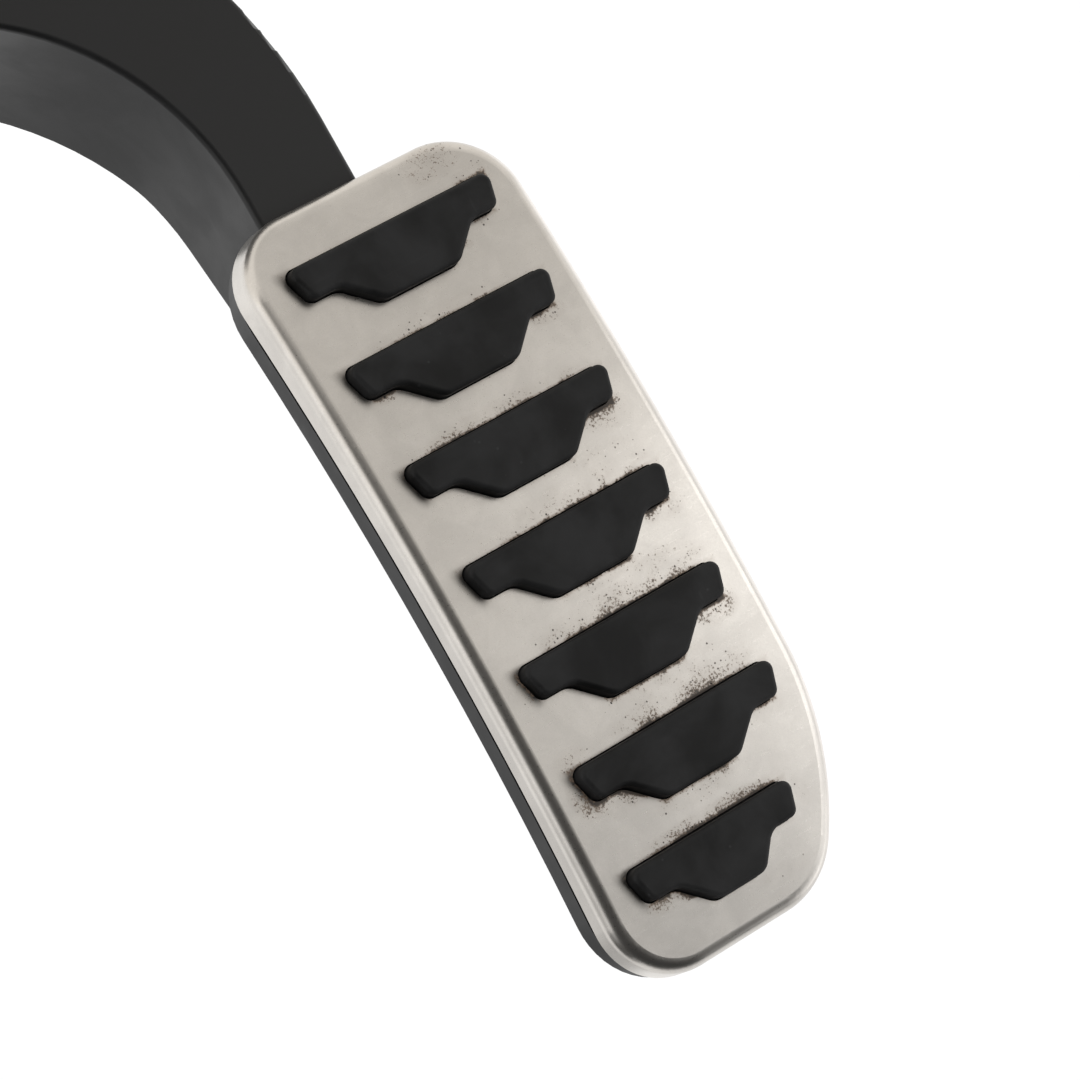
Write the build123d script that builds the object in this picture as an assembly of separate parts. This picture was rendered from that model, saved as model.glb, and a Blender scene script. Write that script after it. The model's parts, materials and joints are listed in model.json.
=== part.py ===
"""Accelerator pedal: a swan-neck moulded arm with a steel-faced pad, its pivot housing, springs and sensor.

Row frame (mm): X to the driver's right, Y forward into the bulkhead, Z up.
The origin is the middle of the bolt circle on the housing's mounting face.
Pad frame: u right, v up along the pad, w out of the pad's face, from the pad's middle.
Pivot frame: the row frame moved to the middle of the pivot shaft.
"""
import os
from math import cos, radians, sin

from build123d import *

# Pad face
PAD_WIDTH = 50.0
PAD_TOP = 65.3
PAD_CROWN_RADIUS = 502.5
PAD_LEAN = 60.0
BASE_CROWN_RADIUS = 375.0
BASE_CROWN_MIDDLE = -3.0
TOP_LEFT_RADIUS = 11.0
TOP_RIGHT_RADIUS = 12.5
HEEL_RADIUS = 12.0
TOE_START = -28.6
TOE_RADIUS = 52.0
TOE_ANGLE = 34.2
TOE_END_RADIUS = 14.3

# Steel tread plate, rubber tread and the arm's backing behind them
SHEET = 1.0
BEND_RADIUS = 2.4
SKIRT_DROP = 4.9
LAYER_GAP = 0.05
MAT_THICK = 1.4
MAT_INSET = 3.6
LUG_RISE = 2.6
LUG_EDGE = 0.8
LUG_GAP = 0.25
SKIRT_GAP = 0.3
RIM_GAP = 0.5
RIM_HEIGHT = 4.0
RIM_TOP_RADIUS = 13.5
RIM_HEEL_RADIUS = 14.0
RIM_WALL = 2.5
FLOOR_THICK = 2.5
STUD_RADIUS = 1.5
STUD_GAP = 0.05
STUD_HOLE_GAP = 0.2
STUD_END = 1.2
STUD_NUT_RADIUS = 3.0
STUD_NUT_THICK = 0.8
STUD_SPOTS = ((-18.2, 45.6), (17.8, 45.6), (-18.2, -40.2), (14.5, -42.3))

# Lug outline below its upper edge: half lengths, depths and the corner radii
LUG_TOPS = (56.9, 39.8, 22.7, 5.4, -11.7, -28.9)
LAST_LUG_TOP = -46.1
LUG_HALF = 19.3
EAR_HALF = 17.5
EAR_DEPTH = 5.7
NOTCH_HALF = 12.5
BELLY_HALF = 7.0
BELLY_DEPTH = 10.6
LAST_LUG_RIGHT = 12.6
LAST_EAR_RIGHT = 11.0
LAST_NOTCH_RIGHT = 5.9
LAST_BELLY_RIGHT = 2.0
LUG_CORNER = 1.5
LUG_NOTCH_RADIUS = 3.4
LUG_BELLY_RADIUS = 2.6

# Arm: a flat-fronted swan neck seen square to the pad, deeper toward the hub
ARM_LEFT = -15.0
ARM_RIGHT = 3.6
ARM_FRONT = -9.8
ARM_WALL = 3.0
ARM_EDGE = 1.0
ARM_FOOT = -40.0
LEFT_BEND_START = 70.1
LEFT_BEND_RADIUS = 47.2
RIGHT_BEND_START = 76.4
RIGHT_BEND_RADIUS = 74.0
ARM_BEND = 60.0
ARM_DEPTH = 40.0
BACK_KNEE = (81.0, -38.3)
BACK_SHOULDER = 111.0
BACK_FOOT = -12.0
BACK_BLEND = 30.0
RIB_THICK = 2.2
RIB_STEP = 17.0
RIB_SETBACK = 2.5
RIB_ANGLE = 40.0
FIRST_RIB = 10.0
PAD_RIBS = (-50.0, -32.0, 24.0, 53.0)
CHANNEL_END = 163.0

# Hub, lug and shaft
HUB_OFFSET = 59.0
HUB_HEIGHT = 190.0
HUB_WIDTH = 26.0
HUB_OVERSIZE = 0.5
HUB_POCKET = (9.0, 16.5, 8.0)
CAM_STANDOFF = 13.0
LUG_REST_ANGLE = -8.0
LUG_NOSE_RADIUS = 5.0
LUG_ROOT = (12.0, -9.5, 8.0)
CAM_LUG_WIDTH = 16.0
PEDAL_TRAVEL = 16.0
SHAFT_RADIUS = 5.0
SHAFT_PRESS_GAP = 0.02
SHAFT_RUNNING_GAP = 0.04
BUSH_RADIUS = 7.0
BUSH_FLANGE = (9.0, 1.0)
CLIP_RADIUS = 8.0
CLIP_THICK = 1.0
CLIP_GROOVE = 4.2
CLIP_PLAY = 0.05
END_PLAY = 0.2

# Housing
PIVOT_BACK = 54.0
PIVOT_DROP = 2.0
WALL = 3.5
SIDE_PLAY = 0.5
ROOF = 46.5
IDLE_BUFFER_THICK = 3.7
REAR_WALL_ENDS = (-20.0, 8.0)
ROOF_BREAK = 16.0
CHEEK_FOOT = ((54.0, -40.0), (14.0, -34.0), (-8.0, -26.0))
BOLT_CIRCLE = 100.0
BOLT_COUNT = 3
BOLT_HOLE_RADIUS = 3.3
SLEEVE_RADIUS = 5.5
SLEEVE_LENGTH = 9.0
BOSS_RADIUS = 9.5
FLANGE_MARGIN = 12.0
GUSSET_THICK = 3.5
GUSSET_SPREAD = 9.0
GUSSET_RUN = 34.0
ROOF_CORNER = 6.0
CHEEK_RING = (10.5, 13.0)
CHEEK_RIB = (2.0, 1.2)
CHEEK_RIB_TURNS = (10.0, 55.0, 100.0, 145.0, 215.0, 325.0)
ROOF_RIBS = (-9.0, 0.0, 9.0)
FOOTPRINT_CORNER = 2.0
HOUSING_EDGE = 2.0
COVER_EDGE = 1.0

# Return springs and the friction plunger in its bore
BORE_RADIUS = 11.5
BORE_WALL = 2.5
BORE_FOOT = 14.0
PLUNGER_GAP = 0.08
PLUNGER_WALL = 1.8
PLUNGER_FLOOR = 3.0
PLUNGER_TOP = 24.0
PLUNGER_SLOT = 1.6
CAM_GAP = 0.3
SPIGOT_RADIUS = 3.0
SPIGOT_LENGTH = 5.0
OUTER_SPRING = (7.9, 0.9, 7.5)
INNER_SPRING = (4.6, 0.65, 10.5)
SPRING_END_GAP = 0.05

# Stops
STOP_GAP = 0.3
BUFFER_LENGTH = 10.0
BUFFER_WIDTH = 16.0
BUFFER_STEM = 2.5
BUFFER_HEAD = (4.2, 2.0)
STOP_BAR = (6.0, 12.0)
STOP_REACH = (-24.0, -16.0)
BUFFER_THICK = 4.0

# Sensor chamber on the left cheek, its cover and connector
CHAMBER = (46.0, 42.0, 7.0)
CHAMBER_WALL = 2.5
CHAMBER_DEPTH = 14.0
SEAL_THICK = 0.8
SEAL_INSET = 0.3
COVER_THICK = 2.5
SCREW_SPOTS = (17.5, 15.5)
SCREW_RADIUS = 1.2
SCREW_LENGTH = 9.0
SCREW_END_GAP = 0.5
SCREW_HEAD = (2.8, 2.0)
SCREW_RECESS = (1.2, 1.2)
SCREW_CLEARANCE = 0.4
SCREW_BOSS = 3.6
CARRIER = (9.0, 5.8)
CARRIER_GAP = 0.4
MAGNET = (7.8, 5.6, 2.6)
BOARD = ((40.0, 22.0), (26.0, 35.0))
BOARD_THICK = 1.6
BOARD_STAND = 9.6
POST_SPOTS = (10.0, 15.0)
POST_RADIUS = 2.0
CHIP = (4.0, 1.2)
CHIP_SPREAD = 6.0
SHROUD = (24.0, 16.0, 3.0)
SHROUD_WALL = 1.6
SHROUD_LENGTH = 15.7
SHROUD_RISE = 8.0
LATCH = (6.0, 1.8, 4.0)
PIN = 0.8
PIN_PITCH = (5.0, 4.4)
PIN_GAP = 0.05
PIN_REACH = 9.7
PIN_TAIL = 0.6

# Values that follow from the ones above
TURN = 1.0 - cos(radians(ARM_BEND))
LEFT_RETURN_RADIUS = (HUB_OFFSET + HUB_WIDTH / 2 + ARM_LEFT) / TURN - LEFT_BEND_RADIUS
RIGHT_RETURN_RADIUS = (HUB_OFFSET - HUB_WIDTH / 2 + ARM_RIGHT) / TURN - RIGHT_BEND_RADIUS
HUB_RADIUS = ARM_DEPTH / 2 + HUB_OVERSIZE
HUB_SINK = ARM_FRONT - ARM_DEPTH / 2
LUG_REACH = HUB_RADIUS + CAM_STANDOFF
REAR_WALL_OUT = ARM_DEPTH / 2 + STOP_GAP + IDLE_BUFFER_THICK + WALL
FAR = 4 * PAD_WIDTH
MAT_TOP = -SHEET - LAYER_GAP
MAT_BOTTOM = MAT_TOP - MAT_THICK
FLOOR_TOP = MAT_BOTTOM - LAYER_GAP
FLOOR_BOTTOM = FLOOR_TOP - FLOOR_THICK
RIM_TOP = -SKIRT_DROP - RIM_GAP
RIM_BOTTOM = RIM_TOP - RIM_HEIGHT
INSIDE = HUB_WIDTH / 2 + SIDE_PLAY
OUTSIDE = INSIDE + WALL
NOSE_TOP = LUG_REACH * sin(radians(LUG_REST_ANGLE)) + LUG_NOSE_RADIUS
PLUNGER_FOOT = NOSE_TOP + CAM_GAP
BORE_OUT = LUG_REACH * cos(radians(LUG_REST_ANGLE))
SPRING_FOOT = PLUNGER_FOOT + PLUNGER_FLOOR
SPRING_HEAD = ROOF - WALL
CHAMBER_MOUTH = -OUTSIDE - CHAMBER_DEPTH
COVER_INNER = CHAMBER_MOUTH - SEAL_THICK
COVER_OUTER = COVER_INNER - COVER_THICK
BOARD_FACE = -OUTSIDE - BOARD_STAND
BOARD_BACK = BOARD_FACE - BOARD_THICK
CARRIER_START = -OUTSIDE - BUSH_FLANGE[1] - CARRIER_GAP
CARRIER_END = CARRIER_START - CARRIER[1]
SHAFT_LEFT = CARRIER_END + MAGNET[2] + 0.4
CLIP_START = OUTSIDE + BUSH_FLANGE[1] + END_PLAY
SHAFT_RIGHT = CLIP_START + CLIP_THICK + 1.2

PAD_V = Vector(0, cos(radians(PAD_LEAN)), sin(radians(PAD_LEAN)))
PAD_W = Vector(0, -sin(radians(PAD_LEAN)), cos(radians(PAD_LEAN)))
PIVOT = Vector(0, -PIVOT_BACK, -PIVOT_DROP)
PAD_ORIGIN = PIVOT + Vector(HUB_OFFSET, 0, 0) - PAD_V * HUB_HEIGHT - PAD_W * HUB_SINK
PAD_PLACE = Plane(origin=PAD_ORIGIN, x_dir=(1, 0, 0), z_dir=PAD_W).location
PIVOT_PLACE = Pos(PIVOT.X, PIVOT.Y, PIVOT.Z)


def crown(height):
    """Solid under the pad's crowned surface at this height above its face."""
    radius = PAD_CROWN_RADIUS + height
    return Pos(0, 0, -PAD_CROWN_RADIUS) * Rot(0, 90, 0) * Cylinder(radius, FAR)


def base_crown(height):
    """Solid under the rounder surface that the skirt and the rim end on."""
    centre = Pos(0, BASE_CROWN_MIDDLE, height - BASE_CROWN_RADIUS)
    return centre * Rot(0, 90, 0) * Cylinder(BASE_CROWN_RADIUS, FAR)


def column(face, top=FAR / 2, bottom=-FAR / 2):
    """A face of the pad frame run from one height to another."""
    return extrude(Pos(0, 0, bottom) * face, top - bottom)


def layer(outline, top, bottom):
    """The outline between two crowned surfaces, in the pad frame."""
    return (column(outline) & crown(top)) - crown(bottom)


def pad_outline(top_left_radius, top_right_radius, heel_radius):
    half = PAD_WIDTH / 2
    right = Line((half, PAD_TOP - top_right_radius), (half, TOE_START))
    toe = JernArc(right @ 1, (0, -1), TOE_RADIUS, -TOE_ANGLE)
    toe_end = JernArc(toe @ 1, toe % 1, TOE_END_RADIUS, TOE_ANGLE - 90)
    low = (toe_end @ 1).Y
    bottom = Line(toe_end @ 1, (heel_radius - half, low))
    heel = JernArc(bottom @ 1, (-1, 0), heel_radius, -90)
    left = Line(heel @ 1, (-half, PAD_TOP - top_left_radius))
    top_left = JernArc(left @ 1, (0, 1), top_left_radius, -90)
    top = Line(top_left @ 1, (half - top_right_radius, PAD_TOP))
    top_right = JernArc(top @ 1, (1, 0), top_right_radius, -90)
    return make_face([right, toe, toe_end, bottom, heel, left, top_left, top, top_right])


def rounded(points, radii):
    """A closed outline with each corner rounded by its own radius."""
    face = make_face(Polyline(*points, close=True))
    for (x, y), radius in zip(points, radii):
        face = fillet(face.vertices().sort_by_distance((x, y, 0))[0], radius)
    return face


def lug_outline(top, ends, ears, notches, belly):
    """A lug seen on the face: long upper edge, slanted ears, a belly below its middle."""
    points = [
        (ends[0], top), (ears[0], top - EAR_DEPTH), (notches[0], top - EAR_DEPTH),
        (belly[0], top - BELLY_DEPTH), (belly[1], top - BELLY_DEPTH),
        (notches[1], top - EAR_DEPTH), (ears[1], top - EAR_DEPTH), (ends[1], top),
    ]
    half = [LUG_CORNER, LUG_CORNER, LUG_NOTCH_RADIUS, LUG_BELLY_RADIUS]
    return rounded(points, half + half[::-1])


def lug_outlines():
    whole = [(-half, half) for half in (LUG_HALF, EAR_HALF, NOTCH_HALF, BELLY_HALF)]
    last = [
        (-LUG_HALF, LAST_LUG_RIGHT), (-EAR_HALF, LAST_EAR_RIGHT),
        (-NOTCH_HALF, LAST_NOTCH_RIGHT), (-BELLY_HALF, LAST_BELLY_RIGHT),
    ]
    return [lug_outline(top, *whole) for top in LUG_TOPS] + [lug_outline(LAST_LUG_TOP, *last)]


def stud_columns(radius):
    return [column(Pos(u, v) * Circle(radius)) for u, v in STUD_SPOTS]


def tread_plate(outline, lugs):
    outer = (column(outline) & crown(0)) - base_crown(-SKIRT_DROP)
    outer = fillet(outer.faces().sort_by(Axis.Z)[-1].edges(), BEND_RADIUS)
    inner = column(offset(outline, -SHEET)) & crown(-SHEET)
    inner -= base_crown(-SKIRT_DROP - BEND_RADIUS)
    inner = fillet(inner.faces().sort_by(Axis.Z)[-1].edges(), BEND_RADIUS - SHEET)
    plate = outer - inner - column(strip(-RIM_GAP, 0, 2 * PAD_TOP), ARM_FRONT + RIM_GAP)
    for lug in lugs:
        plate -= column(offset(lug, LUG_GAP))
    for stud in stud_columns(STUD_RADIUS):
        plate += (stud & crown(-SHEET / 2)) - crown(FLOOR_BOTTOM - STUD_NUT_THICK - STUD_END)
    return plate


def rubber_tread(outline, lugs):
    mat = layer(offset(outline, -MAT_INSET), MAT_TOP, MAT_BOTTOM)
    for stud in stud_columns(STUD_RADIUS + STUD_GAP):
        mat -= stud
    for lug in lugs:
        block = layer(lug, LUG_RISE, MAT_BOTTOM)
        mat += fillet(block.faces().sort_by(Axis.Z)[-1].edges(), LUG_EDGE)
    return mat


def tread_nuts():
    top = FLOOR_BOTTOM - LAYER_GAP
    ring = Circle(STUD_NUT_RADIUS) - Circle(STUD_RADIUS + STUD_GAP)
    return [layer(Pos(u, v) * ring, top, top - STUD_NUT_THICK) for u, v in STUD_SPOTS]


def ribbon(inset, foot):
    """The arm seen square to the pad, its edges moved in by inset, from a foot up to the hub."""
    left_start = Line((ARM_LEFT + inset, foot), (ARM_LEFT + inset, LEFT_BEND_START))
    left_bend = JernArc(left_start @ 1, (0, 1), LEFT_BEND_RADIUS - inset, ARM_BEND)
    left_return = JernArc(left_bend @ 1, left_bend % 1, LEFT_RETURN_RADIUS + inset, -ARM_BEND)
    left_end = Line(left_return @ 1, ((left_return @ 1).X, HUB_HEIGHT))
    right_start = Line((ARM_RIGHT - inset, foot), (ARM_RIGHT - inset, RIGHT_BEND_START))
    right_bend = JernArc(right_start @ 1, (0, 1), RIGHT_BEND_RADIUS + inset, ARM_BEND)
    right_return = JernArc(right_bend @ 1, right_bend % 1, RIGHT_RETURN_RADIUS - inset, -ARM_BEND)
    right_end = Line(right_return @ 1, ((right_return @ 1).X, HUB_HEIGHT))
    cap = Line(left_end @ 1, right_end @ 1)
    base = Line(right_start @ 0, left_start @ 0)
    left = [left_start, left_bend, left_return, left_end]
    right = [right_end, right_return, right_bend, right_start]
    return make_face(left + [cap] + right + [base])


def behind(points, blended=()):
    """A prism across the arm from a side outline of (v, w) points, some of them blended."""
    side = Plane(origin=(-FAR, 0, 0), x_dir=(0, 1, 0), z_dir=(1, 0, 0))
    face = make_face(Polyline(*points, close=True))
    corners = [vertex for vertex in face.vertices() if (vertex.X, vertex.Y) in blended]
    if corners:
        face = fillet(corners, BACK_BLEND)
    return extrude(side * face, 2 * FAR)


def strip(inset, foot, head):
    """The arm's straight foot under the pad, its edges moved in by inset."""
    middle = Pos((ARM_LEFT + ARM_RIGHT) / 2, (foot + head) / 2)
    return middle * Rectangle(ARM_RIGHT - ARM_LEFT - 2 * inset, head - foot)


def arm_back(setback):
    """The arm's back edge seen from the side, from the hub down to its foot."""
    back = ARM_FRONT - ARM_DEPTH + setback
    knee = (BACK_KNEE[0], BACK_KNEE[1] + setback)
    return [(HUB_HEIGHT, back), (BACK_SHOULDER, back), knee, (ARM_FOOT, BACK_FOOT + setback)]


def arm_neck():
    """The arm below the hub, a channel open at the back, and the space its ribs may fill."""
    back = arm_back(0)
    side_cut = behind([(ARM_FOOT, 0), (HUB_HEIGHT, 0)] + back, back[1:3])
    tall = column(ribbon(0, ARM_FOOT), ARM_FRONT) & side_cut
    front = tall.faces().filter_by(Axis.Z).sort_by(Axis.Z)[-1]
    long_edges = [edge for edge in front.edges() if ARM_FOOT + 1 < edge.center().Y < HUB_HEIGHT - 1]
    neck = fillet(long_edges, ARM_EDGE)
    neck += column(strip(0, ARM_FOOT, PAD_TOP - ARM_WALL)) & side_cut & crown((FLOOR_TOP + FLOOR_BOTTOM) / 2)
    low = ARM_FOOT - ARM_WALL
    channel = behind([(low, 0), (CHANNEL_END, 0), (CHANNEL_END, -FAR), (low, -FAR)])
    neck -= column(ribbon(ARM_WALL, low), ARM_FRONT - ARM_WALL) & channel
    neck -= column(strip(ARM_WALL, low, PAD_TOP - 2 * ARM_WALL)) & crown(FLOOR_BOTTOM)
    space = column(ribbon(ARM_WALL / 2, ARM_FOOT), ARM_FRONT - ARM_WALL / 2)
    return neck, space & behind([(ARM_FOOT, 0), (HUB_HEIGHT, 0)] + arm_back(RIB_SETBACK))


def arm_ribs(space):
    """Crossed diagonal ribs across the channel, standing square to the pad."""
    ribs = []
    height = FIRST_RIB
    turn = RIB_ANGLE
    while height < CHANNEL_END - 2 * RIB_THICK:
        plate = Pos(-HUB_OFFSET / 2, height) * Rot(0, 0, turn) * Box(FAR, RIB_THICK, FAR)
        ribs.append(plate & space)
        height += RIB_STEP
        turn = -turn
    return ribs


def pad_backing(outline):
    """The pad's backing: a floor under the tread, a rim below the skirt and cross ribs behind."""
    nest = (column(offset(outline, -SHEET - SKIRT_GAP)) & crown(FLOOR_TOP)) - base_crown(RIM_TOP - 1)
    rim_outline = pad_outline(RIM_TOP_RADIUS, RIM_TOP_RADIUS, RIM_HEEL_RADIUS)
    rim = (column(rim_outline) & base_crown(RIM_TOP)) - base_crown(RIM_BOTTOM)
    hollow = offset(rim_outline, -RIM_WALL - SHEET)
    backing = nest + rim - (column(hollow) & crown(FLOOR_BOTTOM))
    web = column(offset(outline, -SHEET - 1)) & crown(FLOOR_BOTTOM + FLOOR_THICK / 5)
    web -= base_crown(RIM_BOTTOM + 1)
    for height in PAD_RIBS:
        backing += Pos(0, height) * Box(PAD_WIDTH, RIB_THICK, FAR) & web
    for stud in stud_columns(STUD_RADIUS + STUD_HOLE_GAP):
        backing -= stud
    return backing


def hub():
    """Hub drum and cam lug, in the pivot frame."""
    drum = Rot(0, 90, 0) * Cylinder(HUB_RADIUS, HUB_WIDTH)
    side = Plane(origin=(-CAM_LUG_WIDTH / 2, 0, 0), x_dir=(0, 1, 0), z_dir=(1, 0, 0))
    nose = Pos(BORE_OUT, NOSE_TOP - LUG_NOSE_RADIUS) * Circle(LUG_NOSE_RADIUS)
    root = Pos(LUG_ROOT[0], LUG_ROOT[1]) * Circle(LUG_ROOT[2])
    lug = extrude(side * make_hull(nose.edges() + root.edges()), CAM_LUG_WIDTH)
    return drum + lug


def hub_cuts():
    inner, outer, depth = HUB_POCKET
    ring = Circle(outer) - Circle(inner)
    bore = Rot(0, 90, 0) * Cylinder(SHAFT_RADIUS + SHAFT_PRESS_GAP, 4 * HUB_WIDTH)
    right = Rot(0, 90, 0) * extrude(Pos(0, 0, HUB_WIDTH / 2 - depth) * ring, depth + 1)
    left = Rot(0, -90, 0) * extrude(Pos(0, 0, HUB_WIDTH / 2 - depth) * ring, depth + 1)
    return [bore, right, left]


def pedal_arm(outline):
    neck, space = arm_neck()
    body = neck + pad_backing(outline)
    for rib in arm_ribs(space):
        body += rib
    arm = PAD_PLACE * body + PIVOT_PLACE * hub()
    for cut in hub_cuts():
        arm -= PIVOT_PLACE * cut
    return arm


def along_arm(turn):
    """Placement whose Y runs along the arm toward the hub and Z out of its front, turned with the pedal."""
    return Rot(PAD_LEAN + turn, 0, 0)


def pivot_shaft():
    length = SHAFT_RIGHT - SHAFT_LEFT
    shaft = Pos((SHAFT_RIGHT + SHAFT_LEFT) / 2, 0, 0) * Rot(0, 90, 0) * Cylinder(SHAFT_RADIUS, length)
    shaft = chamfer(shaft.edges().filter_by(GeomType.CIRCLE), 0.5)
    ring = Circle(SHAFT_RADIUS + 1) - Circle(CLIP_GROOVE)
    return shaft - Rot(0, 90, 0) * extrude(Pos(0, 0, CLIP_START) * ring, CLIP_THICK)


def shaft_clip():
    mouth = Pos(0, -CLIP_RADIUS) * Rectangle(1.6 * CLIP_GROOVE, 2 * CLIP_RADIUS)
    ring = Circle(CLIP_RADIUS) - Circle(CLIP_GROOVE + SHAFT_PRESS_GAP) - mouth
    return Rot(0, 90, 0) * extrude(Pos(0, 0, CLIP_START + CLIP_PLAY) * ring, CLIP_THICK - 2 * CLIP_PLAY)


def bush(side):
    radius, thick = BUSH_FLANGE
    bore = Circle(SHAFT_RADIUS + SHAFT_RUNNING_GAP)
    body = extrude(Pos(0, 0, INSIDE) * (Circle(BUSH_RADIUS) - bore), WALL)
    body += extrude(Pos(0, 0, OUTSIDE) * (Circle(radius) - bore), thick)
    return Rot(0, 90 * side, 0) * body


def rear_wall_point(along, out):
    """A point of the side view given along the arm and out of its front, as (y, z)."""
    lean = radians(PAD_LEAN)
    return (along * cos(lean) - out * sin(lean), along * sin(lean) + out * cos(lean))


def side_prism(face, low, high):
    side = Plane(origin=(low, 0, 0), x_dir=(0, 1, 0), z_dir=(1, 0, 0))
    return extrude(side * face, high - low)


def housing_profile(lowest):
    rear_low = rear_wall_point(lowest, REAR_WALL_OUT)
    rear_high = rear_wall_point(REAR_WALL_ENDS[1], REAR_WALL_OUT)
    return [rear_low, rear_high, (ROOF_BREAK, ROOF), (PIVOT_BACK, ROOF)]


def bolt_spots():
    turns = [radians(360 * n / BOLT_COUNT) for n in range(BOLT_COUNT)]
    return [(BOLT_CIRCLE / 2 * cos(turn), BOLT_CIRCLE / 2 * sin(turn)) for turn in turns]


def on_bulkhead(face, depth):
    """A face drawn in X and Z, run back from the mounting face by depth, in the pivot frame."""
    plane = Plane(origin=(0, PIVOT_BACK, PIVOT_DROP), x_dir=(1, 0, 0), z_dir=(0, -1, 0))
    return extrude(plane * face, depth)


def four_corners(spots):
    return [(side * spots[0], rise * spots[1]) for side in (-1, 1) for rise in (-1, 1)]


def screw_spots():
    return four_corners(SCREW_SPOTS)


def chamber_face(inset):
    width, height, corner = CHAMBER
    return RectangleRounded(width - 2 * inset, height - 2 * inset, corner - inset)


def to_left(face, start, end):
    """A face drawn in Y and Z, between two X values."""
    return side_prism(face, min(start, end), max(start, end))


def cheek_ribs(outer):
    """Raised stiffening on the right cheek: a ring round the bush and ribs out to the cheek's edge."""
    inside, outside = CHEEK_RING
    width, rise = CHEEK_RIB
    face = Circle(outside)
    for turn in CHEEK_RIB_TURNS:
        face += Rot(0, 0, turn) * Pos(FAR / 4, 0) * Rectangle(FAR / 2, width)
    face = face & offset(outer, -HOUSING_EDGE)
    return side_prism(face - Circle(inside), OUTSIDE - 1, OUTSIDE + rise)


def roof_ribs(outer):
    """Low ribs over the roof, from the rear wall to the flange."""
    width, rise = CHEEK_RIB
    above = Pos(0, PIVOT_BACK - FAR / 2, HUB_RADIUS / 2 + FAR / 2) * Box(FAR, FAR, FAR)
    outside = offset(outer, rise, kind=Kind.INTERSECTION)
    return [side_prism(outside, x - width / 2, x + width / 2) & above for x in ROOF_RIBS]


def pivot_housing():
    outer = make_face(Polyline(*housing_profile(REAR_WALL_ENDS[0]), *CHEEK_FOOT, close=True))
    roof_corners = [vertex for vertex in outer.vertices() if vertex.X < ROOF_BREAK + 1 and vertex.Y > 0]
    outer = fillet(roof_corners, ROOF_CORNER)
    box = side_prism(outer, -OUTSIDE, OUTSIDE)
    side_edges = [edge for edge in box.edges() if abs(edge.center().X) > OUTSIDE - 1]
    high_edges = [edge for edge in side_edges if edge.center().Z > HUB_RADIUS / 2]
    box = fillet([edge for edge in high_edges if edge.center().Y < PIVOT_BACK - 1], HOUSING_EDGE)
    far = make_face(Polyline(*housing_profile(-FAR / 2), (PIVOT_BACK, -FAR), close=True))
    space = side_prism(offset(far, -WALL, kind=Kind.INTERSECTION), -INSIDE, INSIDE)
    discs = [Pos(x, -z) * Circle(FLANGE_MARGIN) for x, z in bolt_spots()]
    for x in (FOOTPRINT_CORNER - OUTSIDE, OUTSIDE - FOOTPRINT_CORNER):
        for z in (ROOF - FOOTPRINT_CORNER, CHEEK_FOOT[0][1] + FOOTPRINT_CORNER):
            discs.append(Pos(x, PIVOT_DROP - z) * Circle(FOOTPRINT_CORNER))
    flange = make_hull([edge for disc in discs for edge in disc.edges()])
    body = box + on_bulkhead(flange, WALL)
    for x, z in bolt_spots():
        body += on_bulkhead(Pos(x, -z) * Circle(BOSS_RADIUS), SLEEVE_LENGTH)
    gusset = make_face(Polyline(
        (OUTSIDE - 1, -1), (OUTSIDE - 1, -GUSSET_RUN), (BOLT_CIRCLE / 2 - BOSS_RADIUS + 1, -SLEEVE_LENGTH),
        (BOLT_CIRCLE / 2 - BOSS_RADIUS + 1, -1), close=True))
    for rise in (-GUSSET_SPREAD, GUSSET_SPREAD):
        body += Pos(0, PIVOT_BACK, PIVOT_DROP + rise - GUSSET_THICK / 2) * extrude(gusset, GUSSET_THICK)
    body += to_left(chamber_face(0), -INSIDE, CHAMBER_MOUTH)
    body += cheek_ribs(outer)
    for rib in roof_ribs(outer):
        body += rib
    body -= space
    tube = Pos(0, BORE_OUT, BORE_FOOT) * extrude(Circle(BORE_RADIUS + BORE_WALL), ROOF - WALL / 2 - BORE_FOOT)
    tube &= Box(2 * INSIDE + 2, 2 * PIVOT_BACK - 2, 4 * ROOF)
    bar_thick, bar_width = STOP_BAR
    bar = Pos(0, sum(STOP_REACH) / 2, -ARM_DEPTH / 2 - STOP_GAP - BUFFER_THICK - bar_thick / 2)
    body += tube + along_arm(PEDAL_TRAVEL) * bar * Box(2 * INSIDE + 2, bar_width, bar_thick)
    body -= Pos(0, BORE_OUT, BORE_FOOT - 1) * extrude(Circle(BORE_RADIUS), ROOF - WALL - BORE_FOOT + 1)
    body += Pos(0, BORE_OUT, SPRING_HEAD - SPIGOT_LENGTH) * extrude(Circle(SPIGOT_RADIUS), SPIGOT_LENGTH + 1)
    body -= to_left(chamber_face(CHAMBER_WALL), -OUTSIDE, CHAMBER_MOUTH - 1)
    for y, z in screw_spots():
        body += to_left(Pos(y, z) * Circle(SCREW_BOSS), -OUTSIDE + 1, COVER_INNER)
        body -= to_left(Pos(y, z) * Circle(SCREW_RADIUS), COVER_INNER + SCREW_LENGTH, COVER_INNER - 1)
    for y, z in four_corners(POST_SPOTS):
        body += to_left(Pos(y, z) * Circle(POST_RADIUS), -OUTSIDE + 1, BOARD_FACE)
    body -= Rot(0, 90, 0) * Cylinder(BUSH_RADIUS, 2 * OUTSIDE + 1)
    for x, z in bolt_spots():
        body -= on_bulkhead(Pos(x, -z) * Circle(SLEEVE_RADIUS), SLEEVE_LENGTH + 1)
    stem = along_arm(0) * Pos(0, idle_height(), REAR_WALL_OUT - WALL / 2)
    return body - stem * Cylinder(BUFFER_STEM + LAYER_GAP, 2 * WALL)


def idle_height():
    return REAR_WALL_ENDS[0] + BUFFER_LENGTH / 2 + 2


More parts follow.
